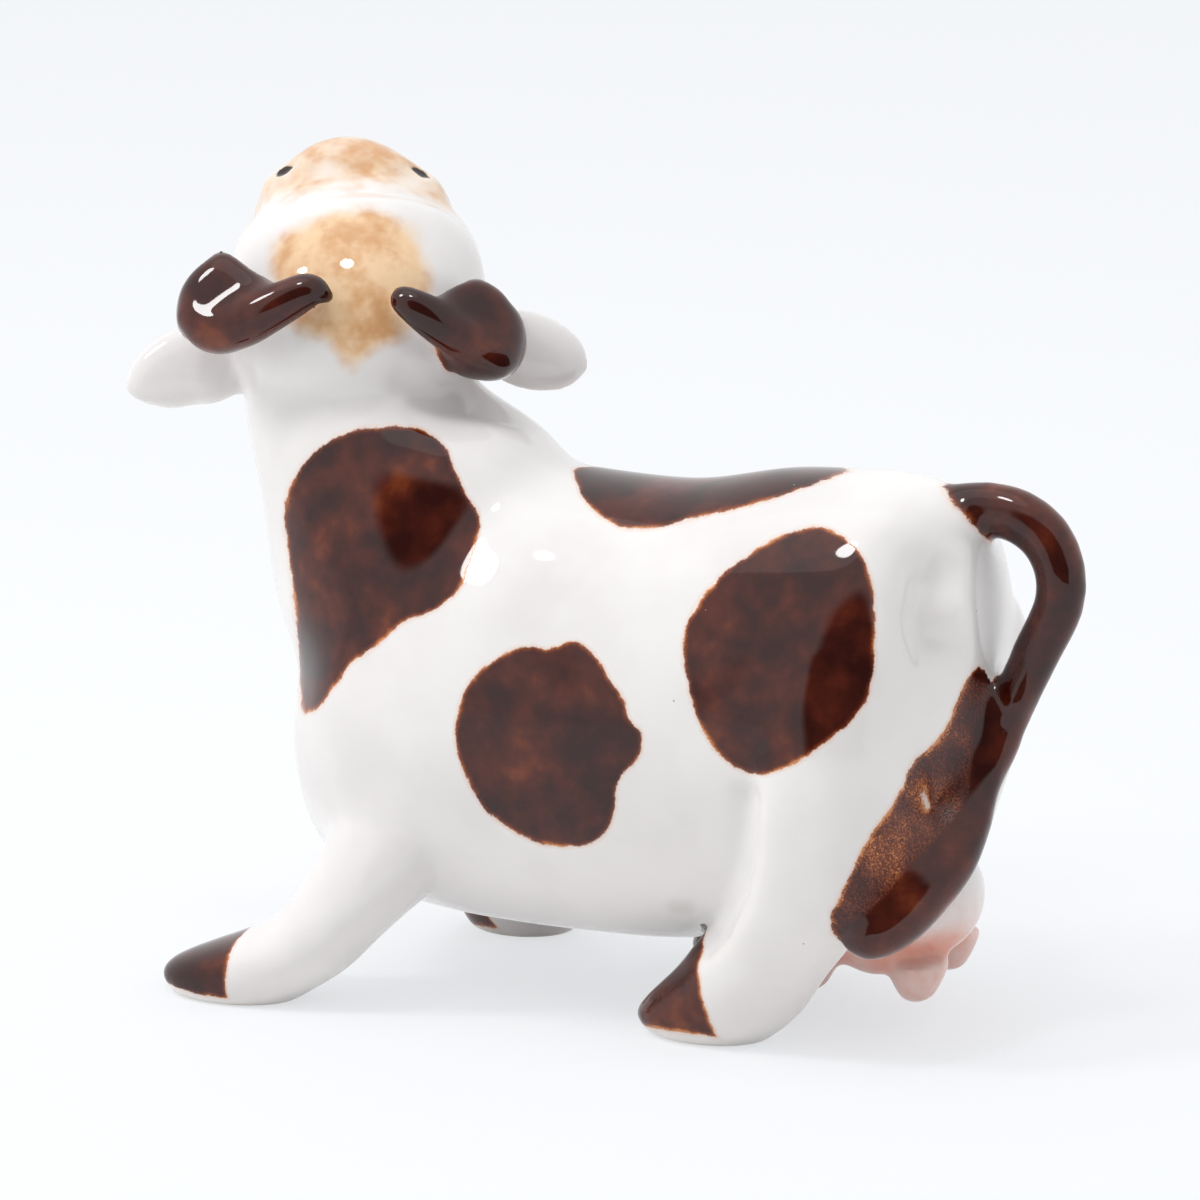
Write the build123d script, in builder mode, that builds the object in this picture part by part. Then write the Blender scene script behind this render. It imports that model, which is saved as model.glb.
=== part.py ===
from build123d import *
import os

os.makedirs("parts", exist_ok=True)

# A small glazed ceramic cow, walking, with its head thrown up and turned to its own right.
# The cow faces -Y, its own left side is +X, +Z is up, and the soles rest on Z = 0.

# Body
TORSO_LENGTH = 49.2
TORSO_WIDTH = 27.0
TORSO_HEIGHT = 32.8
BELLY_CLEARANCE = 4.2

# Neck
NECK_DEPTH = 23.2
NECK_WIDTH = 22.0

# Head, measured in its own frame, with the nose along its own -Y
HEAD_WIDTH = 17.3
HEAD_LENGTH = 16.0
HEAD_HEIGHT = 15.0
HEAD_ASIDE = 1.0
HEAD_FORWARD = 8.6
HEAD_RISE = 25.6
HEAD_TURN = 65.7
HEAD_RAISE = 36.0
MUZZLE_WIDTH = 14.6
MUZZLE_LENGTH = 10.0
MUZZLE_HEIGHT = 11.0
MUZZLE_REACH = 10.6
MUZZLE_DROP = 0.9

# Horns, measured from their roots in the head
HORN_DIAMETER = 5.3
HORN_SPREAD = 3.2
HORN_SWEEP = 5.2
HORN_RISE = 6.4

# Ears
EAR_LENGTH = 8.6
EAR_WIDTH = 5.4
EAR_THICKNESS = 2.6
EAR_HOLLOW_RADIUS = 4.6
EAR_HOLLOW_DEPTH = 0.8
RIGHT_EAR_LIFT = 1.1

# Legs
LEG_WIDTH = 8.4
FOOT_LENGTH = 12.0
FORE_STANCE = 20.8
HIND_STANCE = 15.4
LEFT_FORE_REACH = 11.7
RIGHT_FORE_TRAIL = 1.2
LEFT_HIND_REACH = 7.6
RIGHT_HIND_REACH = 9.8

# Udder and teats
UDDER_WIDTH = 13.0
UDDER_LENGTH = 14.0
UDDER_HEIGHT = 10.0
TEAT_DIAMETER = 4.4
TEAT_LENGTH = 3.2
TEAT_SPACING = 7.2
TEAT_ROW_SPACING = 7.4

# Tail and its brush
TAIL_DIAMETER = 3.6
TAIL_ASIDE = 2.0
TAIL_REACH = 9.0
TAIL_FALL = 13.0
BRUSH_DIAMETER = 4.8
BRUSH_LENGTH = 18.0

# Shares of half the torso length, half its width, its height and half its height:
# place along, half width, middle height, half height
TORSO_SHARES = (
    (-1.000, 0.000, 0.360, 0.000),
    (-0.976, 0.341, 0.360, 0.305),
    (-0.919, 0.578, 0.392, 0.515),
    (-0.789, 0.800, 0.425, 0.723),
    (-0.585, 0.941, 0.453, 0.863),
    (-0.341, 0.993, 0.480, 0.955),
    (-0.098, 1.000, 0.478, 0.956),
    (0.146, 0.993, 0.478, 0.949),
    (0.390, 0.970, 0.514, 0.960),
    (0.593, 0.926, 0.558, 0.884),
    (0.756, 0.867, 0.602, 0.802),
    (0.878, 0.741, 0.639, 0.668),
    (0.955, 0.563, 0.659, 0.500),
    (0.988, 0.341, 0.665, 0.317),
    (1.000, 0.000, 0.670, 0.000),
)

# Neck root in the torso, then shares of the rise to the head, the way forward to it,
# half the depth and half the width
NECK_ROOT_ALONG_SHARE = -0.492
NECK_ROOT_HEIGHT_SHARE = 0.451
NECK_SHARES = (
    (0.000, 0.000, 0.983, 0.836),
    (0.156, 0.163, 1.000, 0.945),
    (0.312, 0.291, 0.983, 0.991),
    (0.469, 0.395, 0.957, 0.955),
    (0.605, 0.500, 0.948, 0.891),
    (0.711, 0.663, 0.897, 0.809),
    (0.781, 0.872, 0.776, 0.718),
    (0.848, 0.988, 0.655, 0.600),
    (0.918, 1.012, 0.474, 0.455),
)

# Shares of half the head length, half its width, half its height:
# place toward the nose, half width, middle height, half height
HEAD_SHARES = (
    (-1.00, 0.000, 0.00, 0.000),
    (-0.94, 0.340, 0.00, 0.340),
    (-0.75, 0.660, 0.00, 0.660),
    (-0.40, 0.915, 0.00, 0.920),
    (0.00, 1.000, 0.00, 1.000),
    (0.40, 1.010, 0.00, 0.965),
    (0.75, 0.965, -0.04, 0.865),
    (1.05, 0.870, -0.10, 0.745),
    (1.30, 0.750, -0.16, 0.640),
    (1.50, 0.620, -0.18, 0.540),
)
# Shares of half the muzzle length, half its width and half its height
MUZZLE_SHARES = (
    (-1.00, 0.000, 0.000),
    (-0.90, 0.440, 0.440),
    (-0.60, 0.800, 0.800),
    (0.00, 0.965, 1.000),
    (0.30, 0.790, 0.950),
    (0.55, 0.640, 0.860),
    (0.80, 0.480, 0.650),
    (0.94, 0.300, 0.370),
    (1.00, 0.000, 0.000),
)

# Horn paths: shares of the spread outward, the sweep back, the rise and the diameter
LEFT_HORN_SHARES = (
    (0.000, 0.000, 0.000, 0.83),
    (0.435, 0.108, 0.087, 0.94),
    (0.756, 0.225, 0.203, 1.00),
    (0.904, 0.366, 0.375, 1.00),
    (0.847, 0.499, 0.564, 0.95),
    (0.597, 0.595, 0.727, 0.84),
    (0.070, 0.734, 0.800, 0.73),
    (-0.462, 0.849, 0.875, 0.64),
    (-0.962, 0.878, 0.970, 0.50),
    (-1.243, 0.859, 1.030, 0.37),
    (-1.400, 0.840, 1.060, 0.00),
)
RIGHT_HORN_SHARES = (
    (0.000, 0.000, 0.000, 0.83),
    (0.439, 0.140, 0.038, 0.94),
    (0.777, 0.295, 0.112, 1.00),
    (0.950, 0.482, 0.252, 1.00),
    (0.916, 0.656, 0.424, 0.95),
    (0.685, 0.777, 0.588, 0.84),
    (0.150, 0.915, 0.760, 0.75),
    (-0.373, 1.010, 0.925, 0.66),
    (-0.779, 1.007, 1.075, 0.52),
    (-1.061, 0.975, 1.165, 0.39),
    (-1.217, 0.955, 1.210, 0.00),
)
# Horn roots as shares of half the head width, length and height
LEFT_HORN_ROOT_SHARES = (0.737, -0.011, 0.112)
RIGHT_HORN_ROOT_SHARES = (0.681, 0.017, 0.008)

# Ear root as shares of half the head width, length and height
EAR_ROOT_SHARES = (0.86, -0.10, -0.24)
# The way the ear points, the way its broad side runs and the way its hollow side faces,
# toward the side, the nose and the top
EAR_WAY_SHARES = (0.93, -0.17, -0.25)
EAR_BROAD_SHARES = (0.00, 0.77, 0.64)
EAR_FRONT_SHARES = (0.00, 0.64, -0.77)
EAR_HOLLOW_SHARE = 0.56
# Shares of the ear length, half its width and half its thickness
EAR_SHARES = (
    (0.00, 0.60, 0.80),
    (0.22, 0.84, 0.92),
    (0.45, 1.00, 1.00),
    (0.70, 0.90, 0.88),
    (0.90, 0.56, 0.60),
    (1.00, 0.00, 0.00),
)

# Hips as shares of half the torso width, half its length and its height
FORE_HIP_SHARES = (0.556, -0.557, 0.299)
HIND_HIP_SHARES = (0.407, 0.614, 0.848)

# One leg a table, from hip to sole: shares of the hip height, of the way to the foot,
# of the way out to the stance, of half the foot length and of half the leg width
LEFT_FORELEG_SHARES = (
    (1.000, 0.000, 0.00, 0.883, 0.976),
    (0.857, 0.051, 0.21, 0.850, 1.024),
    (0.714, 0.128, 0.41, 0.817, 1.048),
    (0.571, 0.231, 0.59, 0.767, 1.036),
    (0.443, 0.359, 0.71, 0.700, 1.000),
    (0.336, 0.509, 0.79, 0.742, 0.976),
    (0.243, 0.692, 0.88, 0.900, 0.952),
    (0.157, 0.859, 0.93, 1.008, 0.917),
    (0.079, 0.966, 0.98, 0.950, 0.857),
    (0.000, 1.000, 1.00, 0.733, 0.738),
)
RIGHT_FORELEG_SHARES = (
    (1.000, 0.000, 0.00, 0.883, 0.976),
    (0.857, 0.583, 0.24, 0.867, 1.000),
    (0.714, 1.250, 0.45, 0.867, 1.012),
    (0.571, 1.542, 0.62, 0.858, 1.000),
    (0.443, 1.667, 0.76, 0.850, 0.988),
    (0.336, 1.667, 0.86, 0.833, 0.976),
    (0.243, 1.500, 0.93, 0.817, 0.952),
    (0.157, 1.250, 0.97, 0.800, 0.905),
    (0.079, 1.000, 1.00, 0.750, 0.833),
    (0.000, 1.000, 1.00, 0.617, 0.714),
)
LEFT_HIND_LEG_SHARES = (
    (1.000, 0.000, 0.00, 0.583, 0.714),
    (0.906, -0.033, 0.59, 0.792, 1.048),
    (0.812, -0.052, 0.95, 0.933, 1.190),
    (0.719, -0.052, 1.18, 1.017, 1.262),
    (0.625, -0.059, 1.36, 1.058, 1.262),
    (0.547, -0.065, 1.50, 1.067, 1.238),
    (0.469, -0.072, 1.55, 1.058, 1.190),
    (0.391, -0.052, 1.55, 1.017, 1.143),
    (0.319, 0.065, 1.55, 0.933, 1.071),
    (0.256, 0.242, 1.45, 0.858, 1.012),
    (0.200, 0.438, 1.36, 0.842, 0.976),
    (0.150, 0.595, 1.27, 0.842, 0.964),
    (0.106, 0.732, 1.18, 0.867, 0.940),
    (0.069, 0.850, 1.11, 0.883, 0.905),
    (0.034, 0.967, 1.05, 0.850, 0.845),
    (0.000, 1.000, 1.00, 0.675, 0.714),
)
RIGHT_HIND_LEG_SHARES = (
    (1.000, 0.000, 0.00, 0.583, 0.714),
    (0.906, -0.143, 0.59, 0.983, 1.095),
    (0.812, -0.199, 0.86, 1.192, 1.238),
    (0.719, -0.209, 1.09, 1.275, 1.286),
    (0.625, -0.184, 1.32, 1.267, 1.262),
    (0.547, -0.143, 1.45, 1.217, 1.238),
    (0.469, -0.102, 1.55, 1.150, 1.190),
    (0.391, -0.041, 1.59, 1.117, 1.167),
    (0.319, 0.041, 1.59, 1.133, 1.119),
    (0.256, 0.173, 1.55, 1.133, 1.071),
    (0.200, 0.398, 1.45, 1.033, 1.000),
    (0.150, 0.638, 1.36, 0.892, 0.964),
    (0.106, 0.821, 1.27, 0.792, 0.940),
    (0.069, 0.934, 1.18, 0.758, 0.905),
    (0.034, 0.995, 1.09, 0.742, 0.845),
    (0.000, 1.000, 1.00, 0.617, 0.714),
)

# Udder middle along the torso and up from the belly, its shape, and where its teats leave it:
# shares of half its length, half its width and half its height
UDDER_PLACE_SHARES = (0.687, 0.134)
UDDER_SHARES = (
    (-1.00, 0.00, 0.00),
    (-0.90, 0.44, 0.44),
    (-0.66, 0.75, 0.75),
    (-0.30, 0.95, 0.95),
    (0.10, 1.00, 1.00),
    (0.45, 0.90, 0.90),
    (0.78, 0.64, 0.64),
    (0.95, 0.32, 0.32),
    (1.00, 0.00, 0.00),
)
TEAT_ROOT_SHARE = 0.62
# Shares of the teat length and its diameter
TEAT_SHARES = (
    (0.00, 1.00),
    (0.30, 0.86),
    (0.60, 0.66),
    (0.85, 0.44),
    (1.00, 0.00),
)

# Tail path from inside the rump: shares of the way aside, to the rear and down, and thickness
TAIL_ROOT_SHARES = (0.807, 0.917)
TAIL_SHARES = (
    (0.00, 0.00, 0.00, 0.96),
    (0.00, 0.20, -0.05, 1.00),
    (0.00, 0.43, -0.07, 1.00),
    (0.05, 0.66, -0.05, 1.00),
    (0.20, 0.88, 0.04, 0.98),
    (0.40, 1.01, 0.20, 0.94),
    (0.50, 1.01, 0.38, 0.92),
    (0.55, 0.89, 0.57, 0.90),
    (0.70, 0.75, 0.79, 0.88),
    (1.00, 0.63, 1.01, 0.86),
)
# Brush path from the end of the tail: shares of its length aside, forward and down,
# and thickness
BRUSH_SHARES = (
    (0.000, 0.000, 0.000, 0.65),
    (0.067, 0.038, 0.140, 0.72),
    (0.167, 0.082, 0.283, 0.82),
    (0.289, 0.137, 0.420, 0.94),
    (0.400, 0.207, 0.534, 1.00),
    (0.489, 0.287, 0.626, 0.92),
    (0.544, 0.366, 0.678, 0.66),
    (0.572, 0.433, 0.688, 0.00),
)


# Every section is drawn as quarter arcs, and this many steps lead from one row to the next
QUARTER_TURN = 90.0
QUARTERS = 4
SECTION_STEPS = 2


def torso_point(side, along, height):
    """Place in the torso from shares of its half width, half length and height."""
    return Vector(
        side * TORSO_WIDTH / 2,
        along * TORSO_LENGTH / 2,
        BELLY_CLEARANCE + height * TORSO_HEIGHT,
    )


neck_root = torso_point(0, NECK_ROOT_ALONG_SHARE, NECK_ROOT_HEIGHT_SHARE)
head_centre = neck_root + Vector(-HEAD_ASIDE, -HEAD_FORWARD, HEAD_RISE)
head_left = Vector(1, 0, 0).rotate(Axis.Z, -HEAD_TURN)
head_nose = Vector(0, -1, 0).rotate(Axis.X, -HEAD_RAISE).rotate(Axis.Z, -HEAD_TURN)
head_up = head_nose.cross(head_left)
muzzle_centre = head_centre + head_nose * MUZZLE_REACH - head_up * MUZZLE_DROP
udder_centre = torso_point(0, *UDDER_PLACE_SHARES)


def head_point(shares, side=1):
    """Place in the head from shares of its half width, half length and half height."""
    return (
        head_centre
        + head_left * (side * shares[0] * HEAD_WIDTH / 2)
        + head_nose * (shares[1] * HEAD_LENGTH / 2)
        + head_up * (shares[2] * HEAD_HEIGHT / 2)
    )


def head_way(shares, side=1):
    """Unit direction in the head's frame, toward its side, its nose and its top."""
    way = head_left * (side * shares[0]) + head_nose * shares[1] + head_up * shares[2]
    return way.normalized()


def refine(rows):
    """Fill a table of sections with in-between rows, on a smooth curve through those given."""
    filled = []
    last = len(rows) - 1
    for number in range(last):
        before = rows[max(number - 1, 0)]
        after = rows[min(number + 2, last)]
        for step in range(SECTION_STEPS):
            part_way = step / SECTION_STEPS
            columns = zip(before, rows[number], rows[number + 1], after)
            filled.append(tuple(blend(part_way, *column) for column in columns))
    return filled + [rows[-1]]


def blend(part_way, before, here, there, after):
    """Value part of the way from here to there, on the cubic that keeps the slope at both."""
    slope_here = (there - before) / 2
    slope_there = (after - here) / 2
    step = there - here
    return (
        here
        + part_way * slope_here
        + part_way ** 2 * (3 * step - 2 * slope_here - slope_there)
        + part_way ** 3 * (slope_here + slope_there - 2 * step)
    )


def draw_ring(place, across, axis, half_width, half_height):
    """Draw one elliptical section as quarter arcs; one without width ends the form in a point."""
    if half_width == 0:
        return Vertex(place)
    with BuildSketch(Plane(origin=place, x_dir=across, z_dir=axis)) as ring:
        with BuildLine():
            for quarter in range(QUARTERS):
                EllipticalCenterArc(
                    (0, 0), half_width, half_height,
                    start_angle=quarter * QUARTER_TURN, arc_size=QUARTER_TURN,
                )
        make_face()
    return ring.sketch.face()


def draw_tube(places, diameters):
    """Draw round sections along a path of places, each square to the path."""
    rings = []
    across = Vector(0, 0, 1)
    for number, (place, diameter) in enumerate(zip(places, diameters)):
        before = places[max(number - 1, 0)]
        after = places[min(number + 1, len(places) - 1)]
        axis = (after - before).normalized()
        across = (across - axis * across.dot(axis)).normalized()
        rings.append(draw_ring(place, across, axis, diameter / 2, diameter / 2))
    return rings


def draw_horn(root, side, horn_shares):
    """Draw the sections of one horn, from its root in the head round to its tip."""
    places = []
    diameters = []
    for outward, back, rise, thickness in refine(horn_shares):
        places.append(
            root + head_left * (side * outward * HORN_SPREAD)
            - head_nose * (back * HORN_SWEEP) + head_up * (rise * HORN_RISE)
        )
        diameters.append(thickness * HORN_DIAMETER)
    return draw_tube(places, diameters)


def draw_ear(root, side):
    """Draw the leaf-shaped sections of one ear, from its root in the head to its tip."""
    way = head_way(EAR_WAY_SHARES, side)
    broad = head_way(EAR_BROAD_SHARES)
    across = (broad - way * broad.dot(way)).normalized()
    rings = []
    for along, half_width, half_thickness in refine(EAR_SHARES):
        rings.append(draw_ring(
            root + way * (along * EAR_LENGTH), across, way,
            half_width * EAR_WIDTH / 2, half_thickness * EAR_THICKNESS / 2,
        ))
    return rings


def draw_leg(hip, side, reach, stance, leg_shares):
    """Draw the level sections of one leg, from the hip inside the torso to the sole."""
    way_out = side * stance / 2 - hip.X
    rings = []
    for height, forward, outward, half_length, half_width in refine(leg_shares):
        rings.append(draw_ring(
            Vector(hip.X + way_out * outward, hip.Y - reach * forward, hip.Z * height),
            (1, 0, 0), (0, 0, 1),
            half_width * LEG_WIDTH / 2, half_length * FOOT_LENGTH / 2,
        ))
    return rings


# Torso, from the chest to the rump
with BuildPart() as torso:
    torso_rings = []
    for along, half_width, middle, half_height in refine(TORSO_SHARES):
        torso_rings.append(draw_ring(
            torso_point(0, along, middle), (1, 0, 0), (0, -1, 0),
            half_width * TORSO_WIDTH / 2, half_height * TORSO_HEIGHT / 2,
        ))
    loft(torso_rings, ruled=True)
torso.part.label = "torso"

# Neck, cut to sit on the shoulders
with BuildPart() as neck:
    neck_rings = []
    for rise, forward, half_depth, half_width in refine(NECK_SHARES):
        neck_rings.append(draw_ring(
            neck_root + Vector(-HEAD_ASIDE * rise, -HEAD_FORWARD * forward, HEAD_RISE * rise),
            (1, 0, 0), (0, 0, 1),
            half_width * NECK_WIDTH / 2, half_depth * NECK_DEPTH / 2,
        ))
    loft(neck_rings, ruled=True)
    add(torso.part, mode=Mode.SUBTRACT)
neck.part.label = "neck"

# Head, from the poll to the bridge of the nose, cut to sit over the neck
with BuildPart() as head:
    head_rings = []
    for along, half_width, middle, half_height in refine(HEAD_SHARES):
        head_rings.append(draw_ring(
            head_point((0, along, middle)), head_left, -head_nose,
            half_width * HEAD_WIDTH / 2, half_height * HEAD_HEIGHT / 2,
        ))
    loft(head_rings, ruled=True)
    add([neck.part, torso.part], mode=Mode.SUBTRACT)
head.part.label = "head"

# Muzzle, a cup over the bridge of the nose
with BuildPart() as muzzle:
    muzzle_rings = []
    for along, half_width, half_height in refine(MUZZLE_SHARES):
        muzzle_rings.append(draw_ring(
            muzzle_centre + head_nose * (along * MUZZLE_LENGTH / 2), head_left, -head_nose,
            half_width * MUZZLE_WIDTH / 2, half_height * MUZZLE_HEIGHT / 2,
        ))
    loft(muzzle_rings, ruled=True)
    add(head.part, mode=Mode.SUBTRACT)
muzzle.part.label = "muzzle"

# Horns, curling out, back and in again over the poll
horns = []
for label, side, root_shares, horn_shares in (
    ("horn_left", 1, LEFT_HORN_ROOT_SHARES, LEFT_HORN_SHARES),
    ("horn_right", -1, RIGHT_HORN_ROOT_SHARES, RIGHT_HORN_SHARES),
):
    with BuildPart() as horn:
        loft(draw_horn(head_point(root_shares, side), side, horn_shares), ruled=True)
        add(head.part, mode=Mode.SUBTRACT)
    horn.part.label = label
    horns.append(horn)

# Ears, dished on the side that faces forward
ears = []
for label, side, lift, horn in (
    ("ear_left", 1, 0, horns[0]),
    ("ear_right", -1, RIGHT_EAR_LIFT, horns[1]),
):
    ear_root = head_point(EAR_ROOT_SHARES, side) + head_up * lift
    hollow_centre = (
        ear_root + head_way(EAR_WAY_SHARES, side) * (EAR_HOLLOW_SHARE * EAR_LENGTH)
        + head_way(EAR_FRONT_SHARES) * (EAR_THICKNESS / 2 - EAR_HOLLOW_DEPTH + EAR_HOLLOW_RADIUS)
    )
    with BuildPart() as ear:
        loft(draw_ear(ear_root, side), ruled=True)
        with Locations(hollow_centre):
            Sphere(EAR_HOLLOW_RADIUS, mode=Mode.SUBTRACT)
        add([head.part, neck.part, horn.part], mode=Mode.SUBTRACT)
    ear.part.label = label
    ears.append(ear)

# Legs, cut to sit against the torso and the neck
fore_hip = torso_point(*FORE_HIP_SHARES)
hind_hip = torso_point(*HIND_HIP_SHARES)
legs = []
for label, side, hip, reach, stance, leg_shares in (
    ("foreleg_left", 1, fore_hip, LEFT_FORE_REACH, FORE_STANCE, LEFT_FORELEG_SHARES),
    ("foreleg_right", -1, fore_hip, -RIGHT_FORE_TRAIL, FORE_STANCE, RIGHT_FORELEG_SHARES),
    ("hind_leg_left", 1, hind_hip, LEFT_HIND_REACH, HIND_STANCE, LEFT_HIND_LEG_SHARES),
    ("hind_leg_right", -1, hind_hip, RIGHT_HIND_REACH, HIND_STANCE, RIGHT_HIND_LEG_SHARES),
):
    with BuildPart() as leg:
        loft(draw_leg(Vector(side * hip.X, hip.Y, hip.Z), side, reach, stance, leg_shares), ruled=True)
        add([torso.part, neck.part], mode=Mode.SUBTRACT)
    leg.part.label = label
    legs.append(leg)
hind_legs = [legs[2].part, legs[3].part]

# Udder, between the hind legs
with BuildPart() as udder:
    udder_rings = []
    for along, half_width, half_height in refine(UDDER_SHARES):
        udder_rings.append(draw_ring(
            udder_centre + Vector(0, along * UDDER_LENGTH / 2, 0), (1, 0, 0), (0, -1, 0),
            half_width * UDDER_WIDTH / 2, half_height * UDDER_HEIGHT / 2,
        ))
    loft(udder_rings, ruled=True)
    add([torso.part] + hind_legs, mode=Mode.SUBTRACT)
udder.part.label = "udder"

# Four teats under the udder
teats = []
for row_label, row in (("front", -1), ("rear", 1)):
    for side_label, side in (("left", 1), ("right", -1)):
        teat_root = udder_centre + Vector(
            side * TEAT_SPACING / 2, row * TEAT_ROW_SPACING / 2, -TEAT_ROOT_SHARE * UDDER_HEIGHT / 2,
        )
        with BuildPart() as teat:
            teat_rings = []
            for drop, thickness in refine(TEAT_SHARES):
                teat_rings.append(draw_ring(
                    teat_root - Vector(0, 0, drop * TEAT_LENGTH), (1, 0, 0), (0, 0, 1),
                    thickness * TEAT_DIAMETER / 2, thickness * TEAT_DIAMETER / 2,
                ))
            loft(teat_rings, ruled=True)
            add([udder.part] + hind_legs, mode=Mode.SUBTRACT)
        teat.part.label = "teat_" + row_label + "_" + side_label
        teats.append(teat)

# Tail, a loop from the rump down to the back of the left thigh
tail_root = torso_point(0, *TAIL_ROOT_SHARES)
tail_places = []
tail_diameters = []
for aside, rearward, fall, thickness in refine(TAIL_SHARES):
    tail_places.append(tail_root + Vector(aside * TAIL_ASIDE, rearward * TAIL_REACH, -fall * TAIL_FALL))
    tail_diameters.append(thickness * TAIL_DIAMETER)
with BuildPart() as tail:
    loft(draw_tube(tail_places, tail_diameters), ruled=True)
    add([torso.part] + hind_legs, mode=Mode.SUBTRACT)
tail.part.label = "tail"

# Brush of the tail, lying along the left thigh
brush_root = tail_places[-1]
brush_places = []
brush_diameters = []
for aside, forward, fall, thickness in refine(BRUSH_SHARES):
    brush_places.append(brush_root + Vector(aside, -forward, -fall) * BRUSH_LENGTH)
    brush_diameters.append(thickness * BRUSH_DIAMETER)
with BuildPart() as tail_brush:
    loft(draw_tube(brush_places, brush_diameters), ruled=True)
    add([torso.part, tail.part, udder.part] + hind_legs, mode=Mode.SUBTRACT)
tail_brush.part.label = "tail_brush"

# The origin lies on the floor, under the middle of the whole cow
pieces = [torso, neck, head, muzzle] + horns + ears + legs + [udder] + teats + [tail, tail_brush]
boxes = [piece.part.bounding_box() for piece in pieces]
middle_x = (min(box.min.X for box in boxes) + max(box.max.X for box in boxes)) / 2
middle_y = (min(box.min.Y for box in boxes) + max(box.max.Y for box in boxes)) / 2
for piece in pieces:
    label = piece.part.label
    piece.part = piece.part.moved(Location((-middle_x, -middle_y, 0)))
    piece.part.label = label
    export_step(piece.part, "parts/" + label + ".step")
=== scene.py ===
"""A small glazed ceramic cow: its clay skin, its painted glazes and the studio round it."""

import logging
import math
from dataclasses import dataclass, field
from enum import Enum
from functools import cached_property

import bpy
import numpy as np
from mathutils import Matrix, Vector
from mathutils.bvhtree import BVHTree


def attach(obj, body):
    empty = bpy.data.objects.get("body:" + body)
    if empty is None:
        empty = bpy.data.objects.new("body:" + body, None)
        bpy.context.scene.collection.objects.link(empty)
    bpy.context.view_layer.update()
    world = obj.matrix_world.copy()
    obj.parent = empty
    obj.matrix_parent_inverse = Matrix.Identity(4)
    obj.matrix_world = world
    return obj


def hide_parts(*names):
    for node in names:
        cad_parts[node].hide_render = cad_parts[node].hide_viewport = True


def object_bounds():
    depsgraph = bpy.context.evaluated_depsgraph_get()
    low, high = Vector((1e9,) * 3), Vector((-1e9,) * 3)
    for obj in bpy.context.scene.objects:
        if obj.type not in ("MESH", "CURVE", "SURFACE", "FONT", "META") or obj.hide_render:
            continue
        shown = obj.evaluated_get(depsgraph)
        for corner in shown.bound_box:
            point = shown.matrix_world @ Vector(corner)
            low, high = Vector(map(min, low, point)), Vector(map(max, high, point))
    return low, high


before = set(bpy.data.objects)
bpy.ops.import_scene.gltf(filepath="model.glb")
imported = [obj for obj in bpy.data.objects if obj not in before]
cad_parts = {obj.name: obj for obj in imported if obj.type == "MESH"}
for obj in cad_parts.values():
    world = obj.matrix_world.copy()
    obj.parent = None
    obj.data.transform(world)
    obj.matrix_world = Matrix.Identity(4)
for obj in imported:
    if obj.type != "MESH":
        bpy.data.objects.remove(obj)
cad_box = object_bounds()

MM = 0.001
TINY = 1e-9
Colour = tuple[float, float, float]
Form = tuple[np.ndarray, list[tuple[int, ...]]]
Triangle = tuple[int, int, int]
Socket = bpy.types.NodeSocket
log = logging.getLogger("cow")


def unit(vector: np.ndarray) -> np.ndarray:
    """The vector or vectors with length one."""
    length = np.linalg.norm(vector, axis=-1, keepdims=True)
    return vector / np.maximum(length, TINY)


def direction(azimuth: float, elevation: float) -> np.ndarray:
    """The direction at an azimuth from -Y round to +X and at an elevation, in degrees."""
    turn, rise = math.radians(azimuth), math.radians(elevation)
    return np.array([math.sin(turn) * math.cos(rise), -math.cos(turn) * math.cos(rise), math.sin(rise)])


def ease(low: float, high: float, value: np.ndarray) -> np.ndarray:
    """A smooth step from 0 at low to 1 at high."""
    share = np.clip((value - low) / (high - low), 0, 1)
    return share * share * (3 - 2 * share)


def away_from(line: np.ndarray, places: np.ndarray) -> np.ndarray:
    """How far places lie from a line of straight runs.

    Args:
        line: Corners of the line, one a row. A line of one corner is a point.
        places: Places in the line's own units, one a row.

    Returns:
        One distance a place.
    """
    away = np.full(len(places), np.inf)
    for start, end in zip(line, line[1:] if len(line) > 1 else line):
        run = end - start
        share = np.clip(((places - start) @ run) / max(run @ run, TINY), 0, 1)
        away = np.minimum(away, np.linalg.norm(places - start - share[:, None] * run, axis=1))
    return away


def linear(red: float, green: float, blue: float) -> tuple[float, float, float, float]:
    """A display colour of 0 to 255 as the linear colour that a shader takes, with an alpha of 1."""
    shares = [channel / 255 for channel in (red, green, blue)]
    return (*[s / 12.92 if s <= 0.04045 else ((s + 0.055) / 1.055) ** 2.4 for s in shares], 1.0)


def torso_middle() -> np.ndarray:
    """The point on the floor under the middle of the torso, in mm.

    Returns:
        The place, from which the camera, the head and the paint are measured.
    """
    corners = np.array([vertex.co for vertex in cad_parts["torso"].data.vertices]) / MM
    middle = (corners.min(0) + corners.max(0)) / 2
    return middle * np.array([1, 1, 0])


def stand(thing: bpy.types.Object, place: np.ndarray, target: np.ndarray) -> None:
    """Stand a new camera or lamp at a place, looking at a target.

    Args:
        thing: The camera or lamp.
        place: Where it stands, in mm.
        target: What it looks at, in mm.
    """
    bpy.context.scene.collection.objects.link(thing)
    thing.location = Vector(place) * MM
    thing.rotation_euler = Vector(target - place).to_track_quat("-Z", "Y").to_euler()


HOME = torso_middle()


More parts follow.
